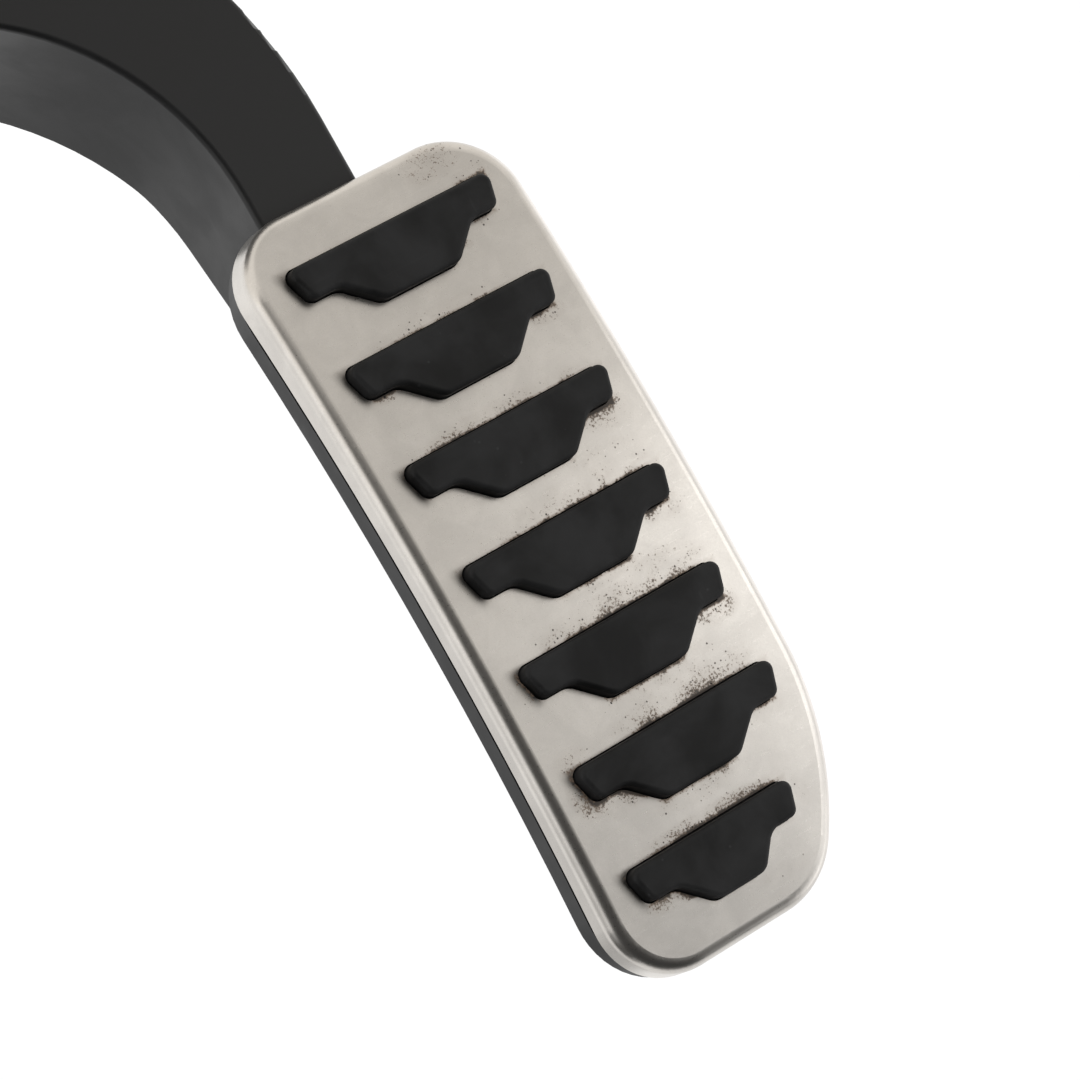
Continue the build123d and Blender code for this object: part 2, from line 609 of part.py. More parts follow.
def idle_stop_buffer():
    low = ARM_DEPTH / 2 + STOP_GAP
    high = REAR_WALL_OUT - WALL
    pad = Pos(0, 0, (low + high) / 2) * Box(BUFFER_WIDTH, BUFFER_LENGTH, high - low)
    stem = Pos(0, 0, REAR_WALL_OUT - WALL / 2) * Cylinder(BUFFER_STEM, WALL)
    radius, thick = BUFFER_HEAD
    head = Pos(0, 0, REAR_WALL_OUT + thick / 2) * Cylinder(radius, thick)
    head = fillet(head.edges().sort_by(Axis.Z)[-1:], thick / 2)
    return along_arm(0) * Pos(0, idle_height(), 0) * (pad + stem + head)


def full_travel_buffer():
    low, high = STOP_REACH
    block = Box(BUFFER_WIDTH, high - low, BUFFER_THICK)
    block = fillet(block.faces().sort_by(Axis.Z)[-1].edges(), BUFFER_THICK / 5)
    near = -ARM_DEPTH / 2 - STOP_GAP
    return along_arm(PEDAL_TRAVEL) * Pos(0, (low + high) / 2, near - BUFFER_THICK / 2) * block


def friction_plunger():
    radius = BORE_RADIUS - PLUNGER_GAP
    height = PLUNGER_TOP - PLUNGER_FOOT
    cup = extrude(Circle(radius), height)
    cup -= Pos(0, 0, PLUNGER_FLOOR) * extrude(Circle(radius - PLUNGER_WALL), height)
    for turn in (45, 135):
        cup -= Pos(0, 0, height - 5) * Rot(0, 0, turn) * Box(4 * radius, PLUNGER_SLOT, 10.1)
    return Pos(0, BORE_OUT, PLUNGER_FOOT) * cup


def spring(size, left_hand):
    radius, wire, turns = size
    low = SPRING_FOOT + SPRING_END_GAP + wire
    height = SPRING_HEAD - SPRING_END_GAP - wire - low
    path = Helix(height / turns, height, radius, lefthand=left_hand)
    coil = sweep(Plane(path @ 0, z_dir=path % 0) * Circle(wire), path, is_frenet=True)
    return Pos(0, BORE_OUT, low) * coil


def magnet_carrier():
    radius, length = CARRIER
    outer, inner, thick = MAGNET
    cup = Circle(radius) - Circle(SHAFT_RADIUS + SHAFT_PRESS_GAP)
    body = to_left(cup, CARRIER_START, CARRIER_END)
    return body - to_left(Circle(outer + SHAFT_PRESS_GAP), CARRIER_END + thick, CARRIER_END - 1)


def ring_magnet():
    outer, inner, thick = MAGNET
    return to_left(Circle(outer) - Circle(inner), CARRIER_END + thick, CARRIER_END)


def pin_spots():
    pitch, rows = PIN_PITCH
    return [(pitch * n, SHROUD_RISE + rows * side / 2) for n in (-1, 0, 1) for side in (-1, 1)]


def circuit_board():
    face = Rectangle(*BOARD[0]) + Rectangle(*BOARD[1])
    for y, z in pin_spots():
        face -= Pos(y, z) * Rectangle(PIN + 2 * PIN_GAP, PIN + 2 * PIN_GAP)
    return to_left(face, BOARD_FACE, BOARD_BACK)


def hall_sensors():
    width, thick = CHIP
    spots = [Pos(y, 0) * Rectangle(width, width) for y in (-CHIP_SPREAD, CHIP_SPREAD)]
    return [to_left(spot, BOARD_FACE, BOARD_FACE + thick) for spot in spots]


def connector_terminals():
    spots = [Pos(y, z) * Rectangle(PIN, PIN) for y, z in pin_spots()]
    return [to_left(spot, BOARD_FACE + PIN_TAIL, COVER_OUTER - PIN_REACH) for spot in spots]


def sensor_cover():
    face = chamber_face(0)
    for y, z in screw_spots():
        face -= Pos(y, z) * Circle(SCREW_RADIUS + SCREW_CLEARANCE)
    for y, z in pin_spots():
        face -= Pos(y, z) * Rectangle(PIN + 2 * PIN_GAP, PIN + 2 * PIN_GAP)
    cover = to_left(face, COVER_INNER, COVER_OUTER)
    rim = cover.faces().sort_by(Axis.X)[0].outer_wire()
    cover = fillet(rim.edges(), COVER_EDGE)
    width, height, corner = SHROUD
    wall = RectangleRounded(width, height, corner)
    wall -= RectangleRounded(width - 2 * SHROUD_WALL, height - 2 * SHROUD_WALL, corner - SHROUD_WALL)
    cover += to_left(Pos(0, SHROUD_RISE) * wall, COVER_OUTER + 0.2, COVER_OUTER - SHROUD_LENGTH)
    latch_width, latch_rise, latch_length = LATCH
    latch = Pos(0, SHROUD_RISE + height / 2 + latch_rise / 2 - 0.1) * Rectangle(latch_width, latch_rise + 0.2)
    cover += to_left(latch, COVER_OUTER - 6, COVER_OUTER - 6 - latch_length)
    return cover


def cover_seal():
    ring = chamber_face(SEAL_INSET) - chamber_face(CHAMBER_WALL - SEAL_INSET)
    for y, z in screw_spots():
        ring -= Pos(y, z) * Circle(SCREW_BOSS + LAYER_GAP)
    return to_left(ring, CHAMBER_MOUTH, COVER_INNER)


def cover_screws():
    radius, thick = SCREW_HEAD
    recess, deep = SCREW_RECESS
    end = COVER_OUTER - thick
    head = to_left(Circle(radius), COVER_OUTER, end)
    tip = COVER_INNER + SCREW_LENGTH - SCREW_END_GAP
    shank = to_left(Circle(SCREW_RADIUS - SHAFT_PRESS_GAP), tip, COVER_OUTER)
    screw = head + shank - to_left(RegularPolygon(recess, 6), end + deep, end - 1)
    return [Pos(0, y, z) * screw for y, z in screw_spots()]


def mounting_bushes():
    ring = Circle(SLEEVE_RADIUS) - Circle(BOLT_HOLE_RADIUS)
    return [on_bulkhead(Pos(x, -z) * ring, SLEEVE_LENGTH) for x, z in bolt_spots()]


def write(name, shape, place):
    shapes = shape if isinstance(shape, list) else [shape]
    placed = [place * one for one in shapes]
    solids = [solid for one in placed for solid in one.solids()]
    whole = solids[0] if len(solids) == 1 else Compound(children=solids)
    whole.label = name
    export_step(whole, f"parts/{name}.step")


def main():
    os.makedirs("parts", exist_ok=True)
    outline = pad_outline(TOP_LEFT_RADIUS, TOP_RIGHT_RADIUS, HEEL_RADIUS)
    lugs = lug_outlines()
    write("pedal_arm", pedal_arm(outline), Pos(0, 0, 0))
    write("tread_plate", tread_plate(outline, lugs), PAD_PLACE)
    write("rubber_tread", rubber_tread(outline, lugs), PAD_PLACE)
    write("tread_nuts", tread_nuts(), PAD_PLACE)
    write("pivot_shaft", pivot_shaft(), PIVOT_PLACE)
    write("shaft_clip", shaft_clip(), PIVOT_PLACE)
    write("magnet_carrier", magnet_carrier(), PIVOT_PLACE)
    write("ring_magnet", ring_magnet(), PIVOT_PLACE)
    write("friction_plunger", friction_plunger(), PIVOT_PLACE)
    write("pivot_housing", pivot_housing(), PIVOT_PLACE)
    write("left_bush", bush(-1), PIVOT_PLACE)
    write("right_bush", bush(1), PIVOT_PLACE)
    write("outer_return_spring", spring(OUTER_SPRING, False), PIVOT_PLACE)
    write("inner_return_spring", spring(INNER_SPRING, True), PIVOT_PLACE)
    write("idle_stop_buffer", idle_stop_buffer(), PIVOT_PLACE)
    write("full_travel_buffer", full_travel_buffer(), PIVOT_PLACE)
    write("circuit_board", circuit_board(), PIVOT_PLACE)
    write("hall_sensors", hall_sensors(), PIVOT_PLACE)
    write("connector_terminals", connector_terminals(), PIVOT_PLACE)
    write("sensor_cover", sensor_cover(), PIVOT_PLACE)
    write("cover_seal", cover_seal(), PIVOT_PLACE)
    write("cover_screws", cover_screws(), PIVOT_PLACE)
    write("mounting_bushes", mounting_bushes(), PIVOT_PLACE)


main()
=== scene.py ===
"""Accelerator pedal: the finishes, loose grit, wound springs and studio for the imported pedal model."""
import json
import math

import bpy
from mathutils import Matrix, Vector

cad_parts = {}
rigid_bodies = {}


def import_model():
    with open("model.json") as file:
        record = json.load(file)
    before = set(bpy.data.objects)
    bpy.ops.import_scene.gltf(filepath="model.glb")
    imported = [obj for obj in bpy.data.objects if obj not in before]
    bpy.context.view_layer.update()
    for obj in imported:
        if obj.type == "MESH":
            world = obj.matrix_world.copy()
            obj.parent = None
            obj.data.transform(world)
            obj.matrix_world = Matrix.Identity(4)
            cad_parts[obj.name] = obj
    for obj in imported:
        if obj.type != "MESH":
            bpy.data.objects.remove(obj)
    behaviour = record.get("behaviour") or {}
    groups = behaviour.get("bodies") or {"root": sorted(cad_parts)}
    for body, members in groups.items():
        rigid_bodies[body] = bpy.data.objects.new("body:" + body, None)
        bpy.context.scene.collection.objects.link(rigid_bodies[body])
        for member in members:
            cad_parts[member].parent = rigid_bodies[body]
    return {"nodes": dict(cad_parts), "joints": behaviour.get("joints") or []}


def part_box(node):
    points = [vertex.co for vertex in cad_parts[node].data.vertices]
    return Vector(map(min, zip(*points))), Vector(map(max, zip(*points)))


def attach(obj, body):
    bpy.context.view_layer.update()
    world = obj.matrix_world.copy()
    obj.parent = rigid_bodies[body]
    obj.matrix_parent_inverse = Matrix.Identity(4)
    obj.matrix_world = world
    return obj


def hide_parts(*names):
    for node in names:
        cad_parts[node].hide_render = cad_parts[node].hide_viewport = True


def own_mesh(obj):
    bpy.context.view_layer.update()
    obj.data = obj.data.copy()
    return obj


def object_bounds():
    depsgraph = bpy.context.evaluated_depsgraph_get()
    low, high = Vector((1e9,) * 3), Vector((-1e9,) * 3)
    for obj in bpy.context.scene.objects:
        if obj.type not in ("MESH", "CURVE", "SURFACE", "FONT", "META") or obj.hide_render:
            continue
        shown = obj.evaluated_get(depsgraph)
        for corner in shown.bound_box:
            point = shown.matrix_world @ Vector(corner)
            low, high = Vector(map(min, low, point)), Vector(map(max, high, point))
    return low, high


bl_info = {
    "name": "Accelerator Pedal",
    "version": (1, 0, 0),
    "blender": (4, 5, 0),
    "location": "View3D > Sidebar > Pedal",
    "description": "Finishes for a moulded accelerator pedal with a steel tread face",
    "category": "Object",
}

for leftover in list(bpy.data.objects):
    bpy.data.objects.remove(leftover)
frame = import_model()
CAD_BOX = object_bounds()
NODES = frame["nodes"]

# The pad's own frame, as the model has it: its middle, how far its face leans, and the face's crown
PAD_MIDDLE = Vector((0.059, -0.17481, -0.15164))
PAD_LEAN = math.radians(60)
PAD_PLACE = Matrix.Translation(PAD_MIDDLE) @ Matrix.Rotation(PAD_LEAN, 4, "X")
CROWN_RADIUS = 0.5025
# The studs behind the pad: their places on it, their radius, and how deep the nuts' fingers lie
STUD_SPOTS = ((-0.0182, 0.0456), (0.0178, 0.0456), (-0.0182, -0.0402), (0.0145, -0.0423))
STUD_RADIUS = 0.0021
FINGER_DEPTH = 0.0060
FINGER_WIDTH = 0.0011
FINGER_THICK = 0.0004
FINGER_LEAN = 0.5

# A lug's outline on the pad, from its upper edge down: a bar with drawn-in ends, then a belly with
# slanted flanks
LUG_HALF = 0.0193
END_SLOPE = 0.3
EAR_DEPTH = 0.0057
NOTCH_HALF = 0.0125
FLANK_SLOPE = 1.12
FLANK_SHARE = 0.67
BELLY_START = 0.004
BELLY_DEPTH = 0.0106
# The share of the pitch above a lug that counts with it, and how far the last lug is cut short on its right
LUG_LEAD = 0.2
LAST_LUG_CUT = 0.0034
LAST_LUG_FADE = (-0.0435, -0.0440)
LAST_LUG_START = -0.0436

# Where the dirt and the painted shade at the lugs' ends lie on the pad: the face's heel and sides, and how
# far dirt reaches from a lug
HEEL_FADE = (-0.0605, -0.0585)
SIDE_FADE = (0.0235, 0.0222)
NEAR_REACH = 0.0033
FRINGE_REACH = 0.0009
GRIT_REACH = 0.0014
GRIT_CLEAR = 0.0002
# The net that carries the grit: its spacing, its upper edge, its length and its margin at the pad's sides
NET_STEP = 0.0006
NET_TOP = 0.061
NET_LENGTH = 0.12
NET_MARGIN = 0.004
# Where the steel is dirtiest, in millimetres on the pad's face:
# across, along, half width, half height, how dirty
DIRTY_SPOTS = (
    (12.5, 62, 7, 3.5, 1.0), (17.5, 57.5, 4, 4, 0.65), (10.6, 48.2, 1.2, 0.9, 0.7), (16, 50.5, 3, 1.2, 0.45),
    (0, 40.9, 16, 1.8, 0.4), (16, 33.2, 4, 2, 0.65), (-14.5, 33.5, 3, 1.3, 0.7),
    (0, 23.6, 20, 2.2, 0.6), (-8, 23.3, 8, 1.4, 0.75), (16, 15.4, 5.5, 3.4, 0.85),
    (2, 7, 19, 3.2, 0.6), (12, 8.6, 9, 4.2, 0.75), (16.5, -1, 5, 2.8, 0.95), (2, -6, 10, 1.6, 0.5),
    (2, -10.2, 19, 3, 0.9), (12, -9, 9, 3.6, 0.8), (16, -18.6, 5, 3, 0.95), (2, -23.5, 14, 3.6, 0.7),
    (-19.4, -15, 1.6, 3, 0.6), (4, -26.8, 16, 3.6, 1.0), (-18, -27.4, 4, 2.2, 0.8),
    (-19.6, -33, 2.2, 4.5, 1.0), (-13, -36, 7, 3, 1.0), (-1, -40.6, 10, 2.6, 0.6), (15, -35.4, 5, 2.2, 0.6),
    (-2, -45.2, 16, 2, 0.85), (-12, -53, 7, 2.2, 1.0), (6, -58.6, 6, 2, 0.5), (14.5, -49, 1.5, 3, 0.5),
)

# The return springs: the coil, the solid that it stands for, its turns, its wire's radius, and whether it
# winds right-handed
SPRINGS = (
    ("outer_spring_coil", "outer_return_spring", 7.5, 0.0009, True),
    ("inner_spring_coil", "inner_return_spring", 10.5, 0.00065, False),
)
COIL_STEPS = 40
WIRE_SIDES = 14

# Colours of the pieces inside, and the finish that all plated fasteners share
SHAFT_STEEL = (0.55, 0.54, 0.53, 1)
SPRING_STEEL = (0.34, 0.33, 0.32, 1)
PLUNGER_PLASTIC = (0.52, 0.49, 0.42, 1)
STOP_RUBBER = (0.02, 0.02, 0.02, 1)
SEAL_RUBBER = (0.19, 0.035, 0.02, 1)
CARRIER_PLASTIC = (0.4, 0.38, 0.33, 1)
MAGNET_FERRITE = (0.05, 0.05, 0.052, 1)
CHIP_RESIN = (0.012, 0.012, 0.013, 1)
PLATED = "plated_steel_finish"

# The photograph's camera: which way is right and which is back, where it looks and how far off it stands
CAMERA_RIGHT = Vector((0.7772, -0.5863, -0.2281))
CAMERA_BACK = Vector((-0.4518, -0.7747, 0.4425))
CAMERA_AIM = Vector((0.05437, -0.17302, -0.14855))
CAMERA_DISTANCE = 0.7
SENSOR_WIDTH = 36
# The soft lamp to the pad's lower right
LAMP_SPOT = Vector((0.209, -0.31, -0.192))
LAMP_AIM = PAD_MIDDLE + Vector((0.02, 0, -0.025))
LAMP_WIDTH = 0.12
LAMP_HEIGHT = 0.34
LAMP_POWER = 0.135
FLOOR_REACH = 30.0
# What the studio shows to glossy surfaces besides white: each patch's middle, the cosines at its rim and
# its core, and how much brighter or darker it is
MIRRORED_PATCHES = (
    # Lights for the left bend, the right skirt and the heel's skirt
    ((-0.95, -0.2, 0.1), 0.84, 0.97, 0.3),
    ((0.94, 0.3, -0.17), 0.85, 0.97, 0.4),
    ((0.15, 0.58, -0.8), 0.95, 0.99, 0.2),
    # Greys for the upper face, the arm's left side, the arm's left edge and the pad's upper bend
    ((0.5, -0.7, 0.52), 0.88, 0.98, -0.34),
    ((-0.28, 0.62, -0.73), 0.90, 0.985, -0.6),
    ((-0.86, -0.15, -0.49), 0.86, 0.96, -0.95),
    ((0.15, -0.2, 0.95), 0.86, 0.97, -0.35),
)
REAR_PATCH = ((-0.45, 0.77, -0.44), 0.7, 0.95)
REAR_GLOW = 0.12
ROOM_LEVEL = 1.06
# How much less green and blue the studio's upper part mirrors
WARM_TINT = (0.0, 0.03, 0.075)


def colour(name, description, value):
    """A colour that a user may change."""
    return bpy.props.FloatVectorProperty(
        name=name, description=description, subtype="COLOR", size=4, min=0, max=1, default=value + (1,))


def length(name, description, value, least, most):
    """A size in metres that a user may change."""
    return bpy.props.FloatProperty(
        name=name, description=description, default=value, min=least, max=most, unit="LENGTH")


class PadSettings(bpy.types.PropertyGroup):
    """Sizes and colours of the steel face, its rubber lugs, the dirt on them and the painted shade beside
    the lugs' left ends.
    """
    steel: colour("Steel", "Colour of the satin steel face", (0.672, 0.64, 0.598))
    # This colour is also the painted shade on the steel beside the lugs' left ends.
    grime_and_shade: colour("Grime", "Colour of the dirt trodden in beside the lugs", (0.018, 0.014, 0.011))
    rust: colour("Rust", "Tint of the stain beside the lower lugs", (0.16, 0.095, 0.048))
    dust: colour("Dust", "Colour of the thin dust round the lugs", (0.15, 0.1, 0.062))
    rubber: colour("Rubber", "Colour of the lugs", (0.006, 0.006, 0.0062))
    lug_pitch: length("Lug pitch", "Distance from one lug's upper edge to the next", 0.01717, 0.01, 0.03)
    first_lug: length("First lug", "Upper edge of the top lug above the pad's middle", 0.0569, 0.03, 0.08)
    crumb: length("Crumb size", "Radius of the largest crumb of grit", 0.00032, 0.00005, 0.001)
    crumbs: bpy.props.IntProperty(
        name="Crumb density", description="Crumbs of grit on each square metre of the dirtiest steel",
        default=1300000, min=0, max=5000000)


class ArmSettings(bpy.types.PropertyGroup):
    """Colours of the moulded arm and of its fasteners."""
    plastic: colour("Arm plastic", "Colour of the moulded arm", (0.0055, 0.0055, 0.0058))
    plating: colour("Plating", "Colour of the zinc-plated fasteners", (0.6, 0.6, 0.58))
    finger: length("Nut finger", "Length of a push-on nut's gripping finger", 0.0013, 0.0005, 0.002)
    fingers: bpy.props.IntProperty(
        name="Fingers", description="Gripping fingers on each push-on nut", default=6, min=3, max=12)


class HousingSettings(bpy.types.PropertyGroup):
    """Colours of the pivot housing, its sensor and what moves inside."""
    plastic: colour("Housing plastic", "Colour of the housing moulding", (0.016, 0.016, 0.017))
    cover: colour("Cover plastic", "Colour of the sensor cover", (0.02, 0.02, 0.021))
    bronze: colour("Bronze", "Colour of the pivot bushes", (0.53, 0.34, 0.16))
    brass: colour("Terminals", "Colour of the socket's terminals", (0.66, 0.5, 0.22))
    board: colour("Board", "Colour of the circuit board's lacquer", (0.012, 0.09, 0.035))


class StageSettings(bpy.types.PropertyGroup):
    """The floor, the light and the camera."""
    floor: colour("Floor", "Colour of the floor", (1.0, 1.0, 1.0))
    drop: length("Floor drop", "How far the floor lies below the pedal", 0.12, 0, 1)
    light: bpy.props.FloatProperty(
        name="Light", description="Strength of the studio's light", default=1.0, min=0, max=5)
    lens: bpy.props.FloatProperty(
        name="Lens", description="Focal length in millimetres", default=155.3, min=20, max=300)


class Wire:
    """A socket that takes plain arithmetic and lays the Math nodes for it."""

    def __init__(self, tree, socket):
        self.tree = tree
        self.socket = socket

    def math(self, operation, *others):
        node = self.tree.nodes.new("ShaderNodeMath")
        node.operation = operation
        for place, value in enumerate((self,) + others):
            feed(self.tree, node.inputs[place], value)
        return Wire(self.tree, node.outputs[0])

    def __add__(self, other):
        return self.math("ADD", other)

    def __sub__(self, other):
        return self.math("SUBTRACT", other)

    def __mul__(self, other):
        return self.math("MULTIPLY", other)

    def __abs__(self):
        return self.math("ABSOLUTE")

    def least(self, other):
        return self.math("MINIMUM", other)

    def most(self, other):
        return self.math("MAXIMUM", other)

    def ramp(self, start, end, low=0.0, high=1.0):
        """A smooth step from low at start to high at end."""
        node = self.tree.nodes.new("ShaderNodeMapRange")
        node.interpolation_type = "SMOOTHSTEP"
        for place, value in enumerate((self, start, end, low, high)):
            feed(self.tree, node.inputs[place], value)
        return Wire(self.tree, node.outputs[0])


def feed(tree, socket, value):
    """Links a wire to a socket, or sets the socket to a plain value."""
    if isinstance(value, Wire):
        tree.links.new(value.socket, socket)
    else:
        socket.default_value = value


def larger(first, second):
    """The larger of two wires or of two numbers."""
    return first.most(second) if isinstance(first, Wire) else max(first, second)


def smaller(first, second):
    """The smaller of two wires or of two numbers."""
    return first.least(second) if isinstance(first, Wire) else min(first, second)


def noise(tree, vector, scale, detail=2.0, rough=0.5, warp=0.0):
    node = tree.nodes.new("ShaderNodeTexNoise")
    feed(tree, node.inputs["Vector"], vector)
    feed(tree, node.inputs["Scale"], scale)
    node.inputs["Detail"].default_value = detail
    node.inputs["Roughness"].default_value = rough
    node.inputs["Distortion"].default_value = warp
    return Wire(tree, node.outputs["Fac"])


def cells(tree, vector, scale):
    """A Voronoi pattern: how far each point lies from its cell's middle, and the cell's random colour."""
    node = tree.nodes.new("ShaderNodeTexVoronoi")
    feed(tree, node.inputs["Vector"], vector)
    feed(tree, node.inputs["Scale"], scale)
    return Wire(tree, node.outputs["Distance"]), Wire(tree, node.outputs["Color"])


def turned(tree, vector, place=(0, 0, 0), turn=(0, 0, 0), stretch=(1, 1, 1), kind="POINT"):
    node = tree.nodes.new("ShaderNodeMapping")
    node.vector_type = kind
    feed(tree, node.inputs["Vector"], vector)
    node.inputs["Location"].default_value = place
    node.inputs["Rotation"].default_value = turn
    node.inputs["Scale"].default_value = stretch
    return Wire(tree, node.outputs[0])


def parts(tree, vector):
    node = tree.nodes.new("ShaderNodeSeparateXYZ")
    feed(tree, node.inputs[0], vector)
    return [Wire(tree, out) for out in node.outputs]


def dotted(tree, first, second):
    """The dot product of two directions."""
    node = tree.nodes.new("ShaderNodeVectorMath")
    node.operation = "DOT_PRODUCT"
    feed(tree, node.inputs[0], first)
    feed(tree, node.inputs[1], second)
    return Wire(tree, node.outputs["Value"])


def mixed(tree, share, first, second):
    """A colour between two, by the second one's share."""
    node = tree.nodes.new("ShaderNodeMix")
    node.data_type = "RGBA"
    feed(tree, node.inputs[0], share)
    feed(tree, node.inputs[6], first)
    feed(tree, node.inputs[7], second)
    return Wire(tree, node.outputs[2])


def group(name, inputs, outputs):
    """An empty shader group with a vector, these numbers and these outputs, and its input wires by name."""
    tree = bpy.data.node_groups.new(name, "ShaderNodeTree")
    tree.interface.new_socket("Vector", in_out="INPUT", socket_type="NodeSocketVector")
    for label, value in inputs.items():
        socket = tree.interface.new_socket(label, in_out="INPUT", socket_type="NodeSocketFloat")
        socket.default_value = value
    for label in outputs:
        tree.interface.new_socket(label, in_out="OUTPUT", socket_type="NodeSocketFloat")
    entry = tree.nodes.new("NodeGroupInput")
    leave = tree.nodes.new("NodeGroupOutput")
    return tree, {out.name: Wire(tree, out) for out in entry.outputs if out.name}, leave


def grain_group():
    """Moulded surface: fine pebbling, broad cloudiness and a few pale specks."""
    tree, given, leave = group("Moulded Grain", {"Scale": 1.0}, ("Height", "Cloud", "Speck"))
    vector = given["Vector"]
    scale = given["Scale"]
    fine = noise(tree, vector, scale * 2600, detail=3, rough=0.6)
    pits, _ = cells(tree, vector, scale * 1500)
    spots, _ = cells(tree, vector, scale * 420)
    sparse = noise(tree, vector, scale * 60)
    cloud = noise(tree, vector, scale * 95, detail=4, rough=0.55, warp=0.4)
    feed(tree, leave.inputs["Height"], fine * 0.7 + pits * 0.3)
    feed(tree, leave.inputs["Cloud"], cloud)
    feed(tree, leave.inputs["Speck"], spots.ramp(0.12, 0.05) * sparse.ramp(0.52, 0.62))
    return tree


def scratch_group():
    """Fine scratches that run three ways across the surface."""
    tree, given, leave = group("Fine Scratches", {"Scale": 1.0}, ("Mask",))
    marks = None
    for turn, stretch in ((0.35, (14, 1100, 400)), (-1.1, (1300, 18, 400)), (0.9, (20, 900, 500))):
        run = turned(tree, given["Vector"], turn=(0, 0, turn), stretch=stretch)
        line = noise(tree, run, given["Scale"], detail=1, rough=0.4).ramp(0.68, 0.76)
        marks = line if marks is None else marks.most(line)
    patch = noise(tree, given["Vector"], given["Scale"] * 45, detail=3)
    feed(tree, leave.inputs["Mask"], marks * patch.ramp(0.42, 0.62))
    return tree


def rub_group():
    """Bright rubbing along outside edges, broken up by noise."""
    tree, given, leave = group("Edge Rub", {"Width": 0.0005}, ("Mask",))
    bevel = tree.nodes.new("ShaderNodeBevel")
    bevel.samples = 4
    feed(tree, bevel.inputs["Radius"], given["Width"])
    surface = tree.nodes.new("ShaderNodeNewGeometry")
    turn = dotted(tree, Wire(tree, bevel.outputs[0]), Wire(tree, surface.outputs["Normal"]))
    broken = noise(tree, given["Vector"], 700, detail=3, rough=0.6)
    feed(tree, leave.inputs["Mask"], turn.ramp(0.995, 0.86) * broken.ramp(0.4, 0.62))
    return tree


def lug_middle(across, last):
    """How far a point lies from the middle of its lug, where last says if that is the short last one."""
    return abs(across + last * LAST_LUG_CUT) + last * LAST_LUG_CUT


def off_lug(middle, below):
    """How far a point lies outside its lug's outline, from wires or from numbers."""
    bar = larger(larger(below * -1, below - EAR_DEPTH), middle + below * END_SLOPE - LUG_HALF)
    flank = (middle + (below - EAR_DEPTH) * FLANK_SLOPE - NOTCH_HALF) * FLANK_SHARE
    belly = larger(larger(below - BELLY_DEPTH, flank), below * -1 + BELLY_START)
    return smaller(bar, belly)


def grime_and_shade_group(pad):
    """How much dirt a point of the pad's face holds, how near it is to a lug, and the painted shade beside
    the lugs' left ends, worked out row by row.
    """
    tree, given, leave = group("Lug Grime And Shade", {}, ("Near", "Fringe", "End Shade", "Dirt"))
    face = turned(tree, given["Vector"], PAD_MIDDLE, (PAD_LEAN, 0, 0), kind="TEXTURE")
    across, along, _ = parts(tree, face)
    pitch = pad.lug_pitch
    lead = LUG_LEAD * pitch
    # Above the first lug the rows stop, so that no lug is taken to lie past the pad's end
    row = (along * -1 + (pad.first_lug + lead)).most(0.0)
    below = row.math("FLOORED_MODULO", pitch) - lead
    away = off_lug(lug_middle(across, along.ramp(*LAST_LUG_FADE)), below)
    on_face = along.ramp(*HEEL_FADE) * abs(across).ramp(*SIDE_FADE)
    # Painted shade: a soft dark halo on the steel beside each lug's left end, where the lug shades the steel
    left_end_shade = across.ramp(-0.0163, -0.0185) * below.ramp(-0.0012, 0.0012) * below.ramp(0.0075, 0.005)
    worst = None
    for x, y, wide, tall, share in DIRTY_SPOTS:
        right = across.math("MULTIPLY_ADD", 1000 / wide, -x / wide)
        up = along.math("MULTIPLY_ADD", 1000 / tall, -y / tall)
        spot = right.math("MULTIPLY_ADD", right, up * up).ramp(1.0, 0.3, 0.0, share)
        worst = spot if worst is None else worst.most(spot)
    feed(tree, leave.inputs["Near"], away.ramp(NEAR_REACH, 0.0) * on_face)
    feed(tree, leave.inputs["Fringe"], away.ramp(FRINGE_REACH, 0.0) * on_face)
    # The painted shade beside the lugs' left ends
    feed(tree, leave.inputs["End Shade"], away.ramp(0.0022, -0.0002) * left_end_shade * on_face)
    feed(tree, leave.inputs["Dirt"], worst * on_face)
    return tree


def speck_group():
    """Loose round specks, each one there or not by how much dirt its spot holds."""
    tree, given, leave = group("Specks", {"Scale": 1.0, "Dirt": 0.5}, ("Mask",))
    distance, chance = cells(tree, given["Vector"], given["Scale"])
    luck, size, _ = parts(tree, chance)
    there = (given["Dirt"] - luck).ramp(0.0, 0.02)
    edge = distance - size * 0.32
    feed(tree, leave.inputs["Mask"], there * edge.ramp(0.22, 0.06))
    return tree


def shared(name, make, *given):
    """A node group by its name, made the first time it is asked for."""
    return bpy.data.node_groups.get(name) or make(*given)


class Finish:
    """A new material with its Principled shader, Object coordinates and the shared groups at hand."""

    def __init__(self, name, base, rough, metallic=0.0):
        self.material = bpy.data.materials.new(name)
        self.material.use_nodes = True
        self.tree = self.material.node_tree
        self.shader = self.tree.nodes["Principled BSDF"]
        self.base = tuple(base)
        self.shader.inputs["Base Color"].default_value = self.base
        self.shader.inputs["Roughness"].default_value = rough
        self.shader.inputs["Metallic"].default_value = metallic
        place = self.tree.nodes.new("ShaderNodeTexCoord")
        self.vector = Wire(self.tree, place.outputs["Object"])

    def use(self, tree, **values):
        node = self.tree.nodes.new("ShaderNodeGroup")
        node.node_tree = tree
        feed(self.tree, node.inputs["Vector"], self.vector)
        for label, value in values.items():
            feed(self.tree, node.inputs[label], value)
        return {out.name: Wire(self.tree, out) for out in node.outputs}

    def scratches(self):
        return self.use(shared("Fine Scratches", scratch_group))["Mask"]

    def shade(self, factor):
        return tuple(channel * factor for channel in self.base[:3]) + (1,)

    def set(self, socket, value):
        feed(self.tree, self.shader.inputs[socket], value)

    def bump(self, height, strength, distance):
        node = self.tree.nodes.new("ShaderNodeBump")
        node.inputs["Strength"].default_value = strength
        node.inputs["Distance"].default_value = distance
        feed(self.tree, node.inputs["Height"], height)
        self.tree.links.new(node.outputs[0], self.shader.inputs["Normal"])


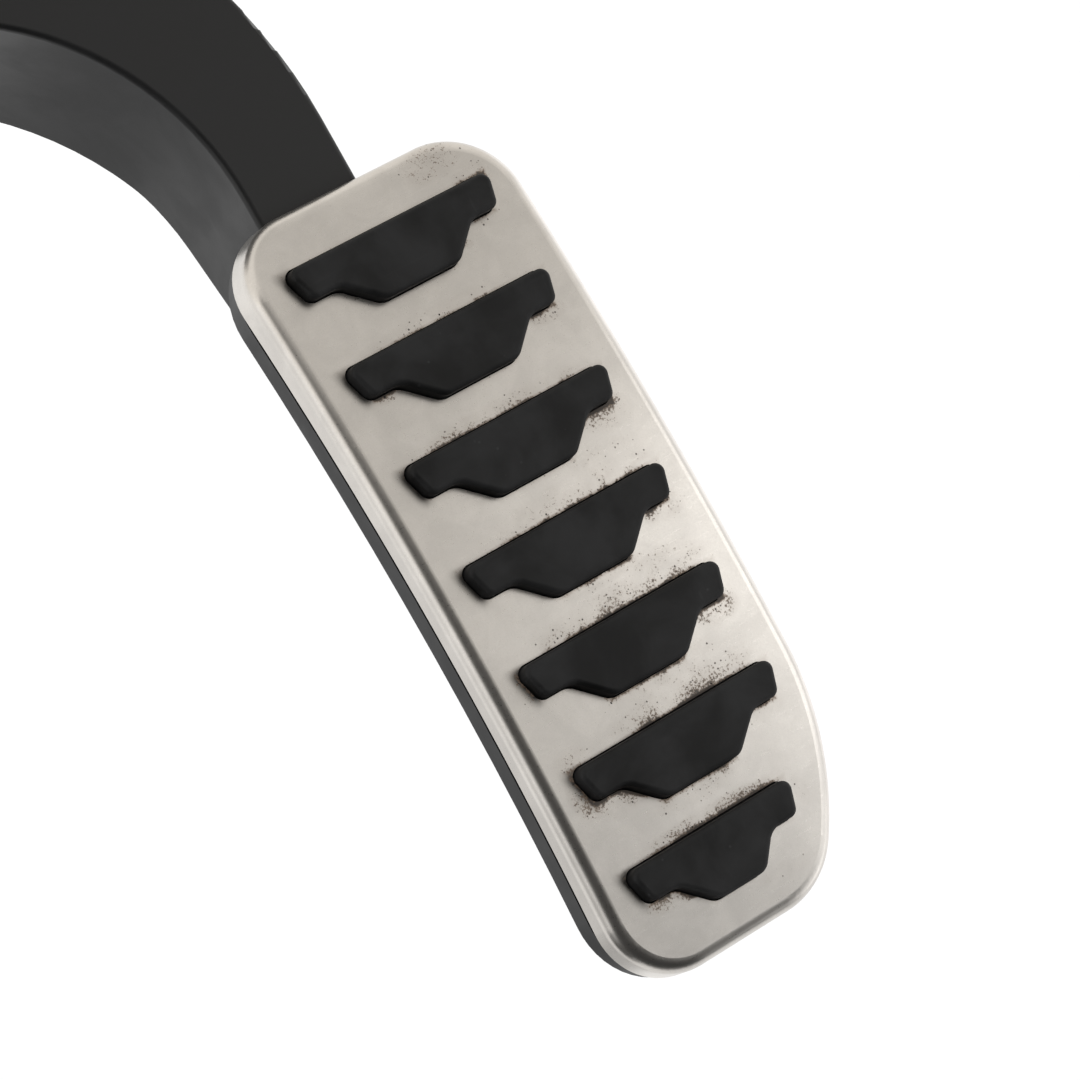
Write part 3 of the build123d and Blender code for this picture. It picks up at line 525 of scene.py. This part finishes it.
def moulded(name, base, rough, scale=1.0, depth=0.00002, cloud=0.25, specks=0.0, rub=0.0, pale=6.0,
            scuffs=0.03, gloss=0.5):
    """Plastic or rubber straight from the mould, clouded, pebbled, rubbed on its edges."""
    finish = Finish(name, base, rough)
    finish.set("Specular IOR Level", gloss)
    grain = finish.use(shared("Moulded Grain", grain_group), Scale=scale)
    marks = finish.scratches()
    clouded = grain["Cloud"].ramp(0.3, 0.7)
    tone = mixed(finish.tree, clouded, finish.shade(1 - cloud), finish.shade(1 + cloud))
    worn = marks * scuffs + grain["Speck"] * specks
    if rub:
        worn = worn + finish.use(shared("Edge Rub", rub_group))["Mask"] * rub
    finish.set("Base Color", mixed(finish.tree, worn.least(1.0), tone, finish.shade(pale)))
    uneven = grain["Cloud"].ramp(0.3, 0.7, rough - 0.05, rough + 0.05)
    finish.set("Roughness", uneven - marks * scuffs * 2.5)
    finish.bump(grain["Height"], 0.5, depth)
    return finish.material


def machined(name, base, rough, stretch, depth=0.000006, rub=0.0):
    """Metal with fine tool marks drawn out along one way."""
    finish = Finish(name, base, rough, metallic=1.0)
    lines = noise(finish.tree, turned(finish.tree, finish.vector, stretch=stretch), 1.0, detail=4, rough=0.6)
    cloud = noise(finish.tree, finish.vector, 140, detail=3)
    tone = mixed(finish.tree, cloud.ramp(0.3, 0.7), finish.shade(0.82), finish.shade(1.08))
    if rub:
        edge = finish.use(shared("Edge Rub", rub_group), Width=0.0003)["Mask"]
        tone = mixed(finish.tree, edge * rub, tone, finish.shade(1.3))
    finish.set("Base Color", mixed(finish.tree, finish.scratches() * 0.3, tone, finish.shade(1.25)))
    finish.set("Roughness", lines.ramp(0.3, 0.7, rough - 0.07, rough + 0.08))
    finish.bump(lines, 0.4, depth)
    return finish.material


def satin_steel(pad):
    """The steel face: fine satin grain, faint scratches, dust and specks of dirt round the lugs, and painted
    shade beside the lugs' left ends.
    """
    finish = Finish("satin_steel_finish", pad.steel, 0.28, metallic=1.0)
    tree = finish.tree
    lug = finish.use(shared("Lug Grime And Shade", grime_and_shade_group, pad))
    grain = noise(tree, finish.vector, 3800, detail=3, rough=0.65)
    brush = noise(tree, turned(tree, finish.vector, stretch=(260, 3600, 3600)), 1.0, detail=3, rough=0.6)
    cloud = noise(tree, finish.vector, 130, detail=5, rough=0.6, warp=0.5)
    patch = noise(tree, finish.vector, 170, detail=4, rough=0.6, warp=0.6)
    # How dirty a spot is, and the dust, specks and haze that come of it
    dirt = lug["Dirt"] * patch.ramp(0.37, 0.62, 0.3, 1.12) * (lug["Near"] * 0.55 + 0.45)
    ragged = lug["Fringe"] * (dirt * 0.34 + 0.11)
    dust = noise(tree, finish.vector, 2300, detail=5, rough=0.72) + dirt * 0.27 + ragged
    specks = finish.use(shared("Specks", speck_group), Scale=2700.0, Dirt=dirt * 0.2 + 0.002)["Mask"]
    soiled = (dust.ramp(0.69, 0.75) * 0.85).most(specks * 0.9)
    cores = dust.ramp(0.74, 0.88).most(specks * 0.9)
    haze = (dirt * 0.2 + lug["Fringe"] * (dirt * 1.6 + 0.15)).least(0.85)
    # The colours, from the clean steel through the rust haze and the painted shade at the lugs' left ends up
    # to the loose dirt on it
    clean = mixed(tree, cloud.ramp(0.3, 0.7), finish.shade(0.93), finish.shade(1.05))
    clean = mixed(tree, grain.ramp(0.35, 0.75) * 0.2, clean, finish.shade(0.75))
    clean = mixed(tree, finish.scratches() * 0.12, clean, finish.shade(1.18))
    hazed_and_shaded = mixed(tree, haze, clean, tuple(pad.rust))
    # Painted shade: the steel darkened beside the lugs' left ends
    hazed_and_shaded = mixed(tree, lug["End Shade"] * 0.8, hazed_and_shaded, tuple(pad.grime_and_shade))
    loose = mixed(tree, cores, tuple(pad.dust), tuple(pad.grime_and_shade))
    finish.set("Base Color", mixed(tree, soiled, hazed_and_shaded, loose))
    finish.set("Metallic", (soiled * 0.9 + haze * 0.3).least(1.0) * -1 + 1.0)
    finish.set("Roughness", brush.ramp(0.3, 0.7, 0.265, 0.3) + soiled * 0.35 + grain.ramp(0.3, 0.7) * 0.04)
    finish.bump(grain * 0.7 + brush * 0.12 + soiled * 0.8, 0.24, 0.00002)
    return finish.material


def wear(node, material):
    """Gives a CAD node its finish."""
    for place in NODES[node].material_slots:
        place.material = material


def crown_drop(along):
    """How far the pad's crowned face lies below its middle."""
    return CROWN_RADIUS - math.sqrt(CROWN_RADIUS ** 2 - along ** 2)


def tree_of(name, inputs):
    """An empty Geometry Nodes tree with a geometry in and out, these named sizes and a material."""
    tree = bpy.data.node_groups.new(name, "GeometryNodeTree")
    tree.interface.new_socket("Geometry", in_out="INPUT", socket_type="NodeSocketGeometry")
    for label, kind in inputs.items():
        tree.interface.new_socket(label, in_out="INPUT", socket_type="NodeSocket" + kind)
    tree.interface.new_socket("Material", in_out="INPUT", socket_type="NodeSocketMaterial")
    tree.interface.new_socket("Geometry", in_out="OUTPUT", socket_type="NodeSocketGeometry")
    return tree, tree.nodes.new("NodeGroupInput")


def copied(tree, points, instance):
    """Puts a copy of a shape on each point, and gives the node that does it."""
    node = tree.nodes.new("GeometryNodeInstanceOnPoints")
    tree.links.new(points, node.inputs["Points"])
    tree.links.new(instance, node.inputs["Instance"])
    return node


def coated(tree, entry, copies):
    """Ends a tree: makes its copies real and gives them the material."""
    real = tree.nodes.new("GeometryNodeRealizeInstances")
    coat = tree.nodes.new("GeometryNodeSetMaterial")
    leave = tree.nodes.new("NodeGroupOutput")
    tree.links.new(copies.outputs["Instances"], real.inputs["Geometry"])
    tree.links.new(real.outputs["Geometry"], coat.inputs["Geometry"])
    tree.links.new(entry.outputs["Material"], coat.inputs["Material"])
    tree.links.new(coat.outputs["Geometry"], leave.inputs["Geometry"])
    return tree


def baked(name, mesh, tree, values, body):
    """Runs a tree over a mesh once and keeps the result as a plain mesh that rides a body."""
    source = bpy.data.objects.new(name, mesh)
    bpy.context.collection.objects.link(source)
    modifier = source.modifiers.new("Build", "NODES")
    modifier.node_group = tree
    for item in tree.interface.items_tree:
        if item.in_out == "INPUT" and item.name in values:
            modifier[item.identifier] = values[item.name]
    solid = source.evaluated_get(bpy.context.evaluated_depsgraph_get())
    made = bpy.data.meshes.new_from_object(solid)
    source.modifiers.remove(modifier)
    bpy.data.objects.remove(source)
    if not made.polygons:
        raise RuntimeError(name + " came out empty")
    piece = bpy.data.objects.new(name, made)
    bpy.context.collection.objects.link(piece)
    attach(piece, body)
    return piece


class PEDAL_OT_steel_face(bpy.types.Operator):
    """Finish the pressed steel face"""
    bl_idname = "pedal.steel_face"
    bl_label = "Steel face"

    def execute(self, context):
        wear("tread_plate", satin_steel(context.scene.pedal_pad))
        return {"FINISHED"}


class PEDAL_OT_rubber_lugs(bpy.types.Operator):
    """Finish the rubber tread and its lugs"""
    bl_idname = "pedal.rubber_lugs"
    bl_label = "Rubber lugs"

    def execute(self, context):
        pad = context.scene.pedal_pad
        wear("rubber_tread", moulded(
            "tread_rubber_finish", pad.rubber, 0.62, depth=0.00003, cloud=0.9, specks=0.4, rub=0.1, pale=5.0,
            gloss=0.3))
        return {"FINISHED"}


def grit_points(pad):
    """A fine net over the pad's face that carries how dirty each spot is."""
    low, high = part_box("tread_plate")
    side = (high.x - low.x) / 2 - NET_MARGIN
    columns = int(2 * side / NET_STEP)
    rows = int(NET_LENGTH / NET_STEP)
    lead = LUG_LEAD * pad.lug_pitch
    points = []
    dirt = []
    for row in range(rows + 1):
        along = NET_TOP - row * NET_STEP
        below = (pad.first_lug - along + lead) % pad.lug_pitch - lead
        last = 1.0 if along < LAST_LUG_START else 0.0
        for column in range(columns + 1):
            across = column * NET_STEP - side
            points.append(PAD_PLACE @ Vector((across, along, -crown_drop(along))))
            away = off_lug(lug_middle(across, last), below)
            spots = [
                s * (1 - math.hypot((1000 * across - x) / w, (1000 * along - y) / t))
                for x, y, w, t, s in DIRTY_SPOTS]
            beside = max(0.0, 1 - away / GRIT_REACH)
            dirt.append(max(max(spots), 0.0) ** 2 * beside if away > GRIT_CLEAR else 0.0)
    wide = columns + 1
    faces = []
    for row in range(rows):
        for column in range(columns):
            corner = row * wide + column
            faces.append((corner, corner + wide, corner + wide + 1, corner + 1))
    mesh = bpy.data.meshes.new("grit_net")
    mesh.from_pydata(points, [], faces)
    layer = mesh.attributes.new("dirt", "FLOAT", "POINT")
    layer.data.foreach_set("value", dirt)
    return mesh


def grit_tree():
    """Scatters small uneven crumbs over the net, thickest where the dirt is."""
    tree, entry = tree_of("Grit", {"Density": "Float", "Crumb": "Float"})
    nodes, links = tree.nodes, tree.links
    dirt = nodes.new("GeometryNodeInputNamedAttribute")
    dirt.data_type = "FLOAT"
    dirt.inputs["Name"].default_value = "dirt"
    spread = nodes.new("ShaderNodeMath")
    spread.operation = "MULTIPLY"
    links.new(dirt.outputs["Attribute"], spread.inputs[0])
    links.new(entry.outputs["Density"], spread.inputs[1])
    scatter = nodes.new("GeometryNodeDistributePointsOnFaces")
    scatter.inputs["Seed"].default_value = 7
    links.new(entry.outputs["Geometry"], scatter.inputs["Mesh"])
    links.new(spread.outputs[0], scatter.inputs["Density"])
    lump = nodes.new("GeometryNodeMeshIcoSphere")
    lump.inputs["Subdivisions"].default_value = 1
    links.new(entry.outputs["Crumb"], lump.inputs["Radius"])
    size = nodes.new("FunctionNodeRandomValue")
    size.data_type = "FLOAT_VECTOR"
    size.inputs["Min"].default_value = (0.16, 0.16, 0.12)
    size.inputs["Max"].default_value = (0.75, 0.6, 0.45)
    size.inputs["Seed"].default_value = 3
    spin = nodes.new("FunctionNodeRandomValue")
    spin.data_type = "FLOAT_VECTOR"
    spin.inputs["Max"].default_value = (6.28, 6.28, 6.28)
    spin.inputs["Seed"].default_value = 5
    crumbs = copied(tree, scatter.outputs["Points"], lump.outputs["Mesh"])
    links.new(size.outputs["Value"], crumbs.inputs["Scale"])
    links.new(spin.outputs["Value"], crumbs.inputs["Rotation"])
    return coated(tree, entry, crumbs)


class PEDAL_OT_grit(bpy.types.Operator):
    """Scatter the crumbs of dirt that sit beside the lugs"""
    bl_idname = "pedal.grit"
    bl_label = "Grit"

    def execute(self, context):
        pad = context.scene.pedal_pad
        earth = moulded("trodden_earth", pad.grime_and_shade, 0.9, scale=2.0, depth=0.00004, cloud=0.5)
        grit = baked("tread_grit", grit_points(pad), grit_tree(), {
            "Density": float(pad.crumbs), "Crumb": pad.crumb, "Material": earth}, "pedal")
        grit.data.shade_smooth()
        return {"FINISHED"}


class PEDAL_OT_arm(bpy.types.Operator):
    """Finish the moulded arm"""
    bl_idname = "pedal.arm"
    bl_label = "Arm"

    def execute(self, context):
        arm = context.scene.pedal_arm
        wear("pedal_arm", moulded(
            "arm_finish", arm.plastic, 0.44, depth=0.00001, cloud=0.1, rub=0.04, pale=4.0, scuffs=0.0,
            gloss=0.45))
        return {"FINISHED"}


def finger_tree():
    """Rings of gripping fingers, one ring on each stud."""
    tree, entry = tree_of("Nut Fingers", {
        "Fingers": "Int", "Length": "Float", "Stud": "Float", "Lean": "Float"})
    nodes, links = tree.nodes, tree.links
    ring = nodes.new("GeometryNodeMeshCircle")
    links.new(entry.outputs["Fingers"], ring.inputs["Vertices"])
    links.new(entry.outputs["Stud"], ring.inputs["Radius"])
    blade = nodes.new("GeometryNodeMeshCube")
    shape = nodes.new("ShaderNodeCombineXYZ")
    links.new(entry.outputs["Length"], shape.inputs[0])
    shape.inputs[1].default_value = FINGER_WIDTH
    shape.inputs[2].default_value = FINGER_THICK
    links.new(shape.outputs[0], blade.inputs["Size"])
    for label, count in (("Vertices X", 4), ("Vertices Y", 3), ("Vertices Z", 2)):
        blade.inputs[label].default_value = count
    spot = nodes.new("GeometryNodeInputPosition")
    outward = nodes.new("FunctionNodeAlignEulerToVector")
    outward.axis = "X"
    links.new(spot.outputs[0], outward.inputs["Vector"])
    tip = nodes.new("FunctionNodeRotateEuler")
    tip.space = "LOCAL"
    down = nodes.new("ShaderNodeCombineXYZ")
    links.new(entry.outputs["Lean"], down.inputs[1])
    links.new(outward.outputs[0], tip.inputs["Rotation"])
    links.new(down.outputs[0], tip.inputs["Rotate By"])
    fan = copied(tree, ring.outputs["Mesh"], blade.outputs["Mesh"])
    links.new(tip.outputs[0], fan.inputs["Rotation"])
    nuts = copied(tree, entry.outputs["Geometry"], fan.outputs["Instances"])
    nuts.inputs["Rotation"].default_value = (PAD_LEAN, 0, 0)
    return coated(tree, entry, nuts)


class PEDAL_OT_push_nuts(bpy.types.Operator):
    """Finish the push-on nuts and give each its gripping fingers"""
    bl_idname = "pedal.push_nuts"
    bl_label = "Push-on nuts"

    def execute(self, context):
        arm = context.scene.pedal_arm
        plated = machined(PLATED, arm.plating, 0.3, (900, 900, 900), depth=0.000008, rub=0.5)
        wear("tread_nuts", plated)
        mesh = bpy.data.meshes.new("stud_spots")
        spots = [PAD_PLACE @ Vector((u, v, -FINGER_DEPTH - crown_drop(v))) for u, v in STUD_SPOTS]
        mesh.from_pydata(spots, [], [])
        fingers = baked("nut_fingers", mesh, finger_tree(), {
            "Fingers": arm.fingers, "Length": arm.finger, "Stud": STUD_RADIUS, "Lean": FINGER_LEAN,
            "Material": plated}, "pedal")
        return {"FINISHED"}


class PEDAL_OT_pivot(bpy.types.Operator):
    """Finish the pivot shaft, its clip and its bushes"""
    bl_idname = "pedal.pivot"
    bl_label = "Pivot"

    def execute(self, context):
        colours = context.scene.pedal_housing
        bronze = machined(
            "bush_bronze_finish", colours.bronze, 0.34, (400, 1500, 1500), depth=0.000008, rub=0.4)
        wear("pivot_shaft", machined("shaft_steel_finish", SHAFT_STEEL, 0.22, (2600, 90, 90)))
        wear("shaft_clip", bpy.data.materials[PLATED])
        wear("left_bush", bronze)
        wear("right_bush", bronze)
        return {"FINISHED"}


def coil_tree():
    """A coil of round wire, wound upward from each point."""
    tree, entry = tree_of("Coil Spring", {
        "Turns": "Float", "Radius": "Float", "Wire": "Float", "Height": "Float", "Right Hand": "Bool"})
    nodes, links = tree.nodes, tree.links
    path = nodes.new("GeometryNodeCurveSpiral")
    path.inputs["Resolution"].default_value = COIL_STEPS
    links.new(entry.outputs["Turns"], path.inputs["Rotations"])
    links.new(entry.outputs["Radius"], path.inputs["Start Radius"])
    links.new(entry.outputs["Radius"], path.inputs["End Radius"])
    links.new(entry.outputs["Height"], path.inputs["Height"])
    links.new(entry.outputs["Right Hand"], path.inputs["Reverse"])
    section = nodes.new("GeometryNodeCurvePrimitiveCircle")
    section.inputs["Resolution"].default_value = WIRE_SIDES
    links.new(entry.outputs["Wire"], section.inputs["Radius"])
    wire = nodes.new("GeometryNodeCurveToMesh")
    wire.inputs["Fill Caps"].default_value = True
    links.new(path.outputs["Curve"], wire.inputs["Curve"])
    links.new(section.outputs["Curve"], wire.inputs["Profile Curve"])
    return coated(tree, entry, copied(tree, entry.outputs["Geometry"], wire.outputs["Mesh"]))


def coil(name, node, turns, wire, right_hand, material):
    """A return spring wound in place of the solid that it stands for; it rides the housing and keeps one
    length.
    """
    low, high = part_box(node)
    middle = (low + high) / 2
    mesh = bpy.data.meshes.new(name + "_foot")
    mesh.from_pydata([(middle.x, middle.y, low.z + wire)], [], [])
    piece = baked(name, mesh, shared("Coil Spring", coil_tree), {
        "Turns": turns, "Radius": (high.x - low.x) / 2 - wire, "Wire": wire,
        "Height": high.z - low.z - 2 * wire, "Right Hand": right_hand, "Material": material}, "housing")
    piece.data.shade_smooth()
    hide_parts(node)
    slide = next(joint for joint in frame["joints"] if joint["name"] == "plunger_slide")
    left_over = 1 - slide["range_m"][1] / (high.z - low.z)
    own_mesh(piece)


class PEDAL_OT_springs(bpy.types.Operator):
    """Wind the two return springs and finish the friction plunger"""
    bl_idname = "pedal.springs"
    bl_label = "Springs"

    def execute(self, context):
        steel = machined("spring_steel_finish", SPRING_STEEL, 0.3, (700, 700, 2400), rub=0.2)
        for spring in SPRINGS:
            coil(*spring, steel)
        wear("friction_plunger", moulded(
            "plunger_finish", PLUNGER_PLASTIC, 0.4, depth=0.00001, cloud=0.08, rub=0.2, pale=1.3))
        return {"FINISHED"}


class PEDAL_OT_housing(bpy.types.Operator):
    """Finish the pivot housing, its bolt sleeves and its stops"""
    bl_idname = "pedal.housing"
    bl_label = "Housing"

    def execute(self, context):
        colours = context.scene.pedal_housing
        stop = moulded(
            "buffer_rubber_finish", STOP_RUBBER, 0.7, scale=1.2, depth=0.00003, cloud=0.3, specks=0.3,
            rub=0.2, pale=4.0)
        wear("pivot_housing", moulded(
            "housing_finish", colours.plastic, 0.5, scale=0.7, depth=0.00003, cloud=0.2, rub=0.25, pale=5.0))
        wear("mounting_bushes", bpy.data.materials[PLATED])
        wear("idle_stop_buffer", stop)
        wear("full_travel_buffer", stop)
        return {"FINISHED"}


class PEDAL_OT_sensor(bpy.types.Operator):
    """Finish the position sensor, its cover, seal, screws and terminals"""
    bl_idname = "pedal.sensor"
    bl_label = "Sensor"

    def execute(self, context):
        colours = context.scene.pedal_housing
        wear("sensor_cover", moulded("cover_finish", colours.cover, 0.42, cloud=0.15, rub=0.25, pale=5.0))
        wear("cover_seal", moulded("seal_finish", SEAL_RUBBER, 0.6, scale=1.5, cloud=0.15))
        wear("cover_screws", bpy.data.materials[PLATED])
        wear("magnet_carrier", moulded("carrier_finish", CARRIER_PLASTIC, 0.42, depth=0.00001, cloud=0.1))
        wear("ring_magnet", moulded(
            "magnet_finish", MAGNET_FERRITE, 0.35, scale=1.5, depth=0.00001, cloud=0.2))
        wear("circuit_board", moulded("board_finish", colours.board, 0.28, depth=0.00001, cloud=0.2))
        wear("hall_sensors", moulded("chip_finish", CHIP_RESIN, 0.5, scale=2.0, depth=0.00001, cloud=0.2))
        wear("connector_terminals", machined("terminal_finish", colours.brass, 0.25, (90, 1500, 1500)))
        return {"FINISHED"}


def studio_world(light):
    """A white room that the pedal mirrors darkly toward the photographer and brightly over its shoulder."""
    world = bpy.data.worlds.new("studio")
    world.use_nodes = True
    tree = world.node_tree
    place = tree.nodes.new("ShaderNodeTexCoord")
    way = Wire(tree, place.outputs["Generated"])
    across, ahead, height = parts(tree, way)

    def patch(direction, rim, core):
        return dotted(tree, way, Vector(direction).normalized()).ramp(rim, core)

    # The dark side lies in front, and its upper edge falls from left to right
    front = (ahead * -1).ramp(0.3, 0.55)
    edge = across.ramp(0.05, 0.42, 0.70, 0.06)
    dark = front * (height - edge).ramp(0.09, -0.1)
    rear = patch(*REAR_PATCH)
    mirror = rear * REAR_GLOW + 1.0
    for direction, rim, core, change in MIRRORED_PATCHES:
        mirror = mirror + patch(direction, rim, core) * change
    mirror = mirror.most(0.02) * (dark * -0.97 + 1.0)
    path = tree.nodes.new("ShaderNodeLightPath")
    glossy = Wire(tree, path.outputs["Is Glossy Ray"])
    level = (glossy * (mirror - ROOM_LEVEL) + ROOM_LEVEL) * light
    warm = (rear * -1 + 1.0) * height.ramp(0.1, 0.5)
    tone = tree.nodes.new("ShaderNodeCombineColor")
    for slot, tint in enumerate(WARM_TINT):
        feed(tree, tone.inputs[slot], level * (warm * glossy * -tint + 1.0))
    tree.links.new(tone.outputs[0], tree.nodes["Background"].inputs["Color"])
    return world


def soft_lamp():
    """The soft lamp beside the pad, which the camera doesn't see."""
    lamp = bpy.data.lights.new("side_lamp", "AREA")
    lamp.shape = "RECTANGLE"
    lamp.size = LAMP_WIDTH
    lamp.size_y = LAMP_HEIGHT
    lamp.energy = LAMP_POWER
    holder = bpy.data.objects.new("side_lamp", lamp)
    turn = (LAMP_SPOT - LAMP_AIM).to_track_quat("Z", "Y")
    holder.matrix_world = Matrix.Translation(LAMP_SPOT) @ turn.to_matrix().to_4x4()
    holder.visible_camera = False
    bpy.context.collection.objects.link(holder)


def pale_floor(paint_colour, drop):
    """A plain floor below the pedal, which the pedal doesn't mirror."""
    level = CAD_BOX[0][2] - drop
    corners = ((-1, -1), (1, -1), (1, 1), (-1, 1))
    mesh = bpy.data.meshes.new("floor")
    mesh.from_pydata([(x * FLOOR_REACH, y * FLOOR_REACH, level) for x, y in corners], [], [(0, 1, 2, 3)])
    floor = bpy.data.objects.new("floor", mesh)
    bpy.context.collection.objects.link(floor)
    paint = Finish("floor_paint", paint_colour, 0.9)
    haze = noise(paint.tree, paint.vector, 3)
    paint.set("Base Color", mixed(paint.tree, haze, paint.shade(0.985), paint.shade(1.0)))
    mesh.materials.append(paint.material)
    floor.visible_glossy = False


def photo_camera(focal_length):
    """A camera that stands and looks as the photograph's did."""
    lens = bpy.data.cameras.new("camera")
    lens.lens = focal_length
    lens.sensor_width = SENSOR_WIDTH
    lens.clip_start = 0.01
    lens.clip_end = 100
    camera = bpy.data.objects.new("camera", lens)
    back = CAMERA_BACK.normalized()
    up = back.cross(CAMERA_RIGHT).normalized()
    right = up.cross(back)
    spot = CAMERA_AIM + back * CAMERA_DISTANCE
    camera.matrix_world = Matrix((
        (right.x, up.x, back.x, spot.x), (right.y, up.y, back.y, spot.y),
        (right.z, up.z, back.z, spot.z), (0, 0, 0, 1)))
    bpy.context.collection.objects.link(camera)
    return camera


class PEDAL_OT_stage(bpy.types.Operator):
    """Lay the pale floor, light the studio and set the camera"""
    bl_idname = "pedal.stage"
    bl_label = "Stage"

    def execute(self, context):
        settings = context.scene.pedal_stage
        context.scene.world = studio_world(settings.light)
        context.scene.view_settings.view_transform = "Standard"
        pale_floor(settings.floor, settings.drop)
        soft_lamp()
        context.scene.camera = photo_camera(settings.lens)
        return {"FINISHED"}


class PEDAL_PT_sidebar(bpy.types.Panel):
    """Lists the pedal's sizes, colours and build steps"""
    bl_idname = "PEDAL_PT_sidebar"
    bl_label = "Accelerator Pedal"
    bl_space_type = "VIEW_3D"
    bl_region_type = "UI"
    bl_category = "Pedal"

    def draw(self, context):
        for name in SETTINGS:
            settings = getattr(context.scene, name)
            column = self.layout.column(align=True)
            for label in settings.__annotations__:
                column.prop(settings, label)
        for step in STEPS:
            self.layout.operator(step.bl_idname)


SETTINGS = {
    "pedal_pad": PadSettings,
    "pedal_arm": ArmSettings,
    "pedal_housing": HousingSettings,
    "pedal_stage": StageSettings,
}
STEPS = (
    PEDAL_OT_steel_face, PEDAL_OT_rubber_lugs, PEDAL_OT_grit, PEDAL_OT_arm, PEDAL_OT_push_nuts,
    PEDAL_OT_pivot, PEDAL_OT_springs, PEDAL_OT_housing, PEDAL_OT_sensor, PEDAL_OT_stage,
)


def register():
    for name, settings in SETTINGS.items():
        bpy.utils.register_class(settings)
        setattr(bpy.types.Scene, name, bpy.props.PointerProperty(type=settings))
    for made in STEPS + (PEDAL_PT_sidebar,):
        bpy.utils.register_class(made)


def unregister():
    for made in reversed(STEPS + (PEDAL_PT_sidebar,)):
        bpy.utils.unregister_class(made)
    for name, settings in SETTINGS.items():
        delattr(bpy.types.Scene, name)
        bpy.utils.unregister_class(settings)


def main():
    register()
    for step in STEPS:
        area, name = step.bl_idname.split(".")
        getattr(getattr(bpy.ops, area), name)()
    bpy.context.view_layer.update()


if __name__ == "__main__":
    main()
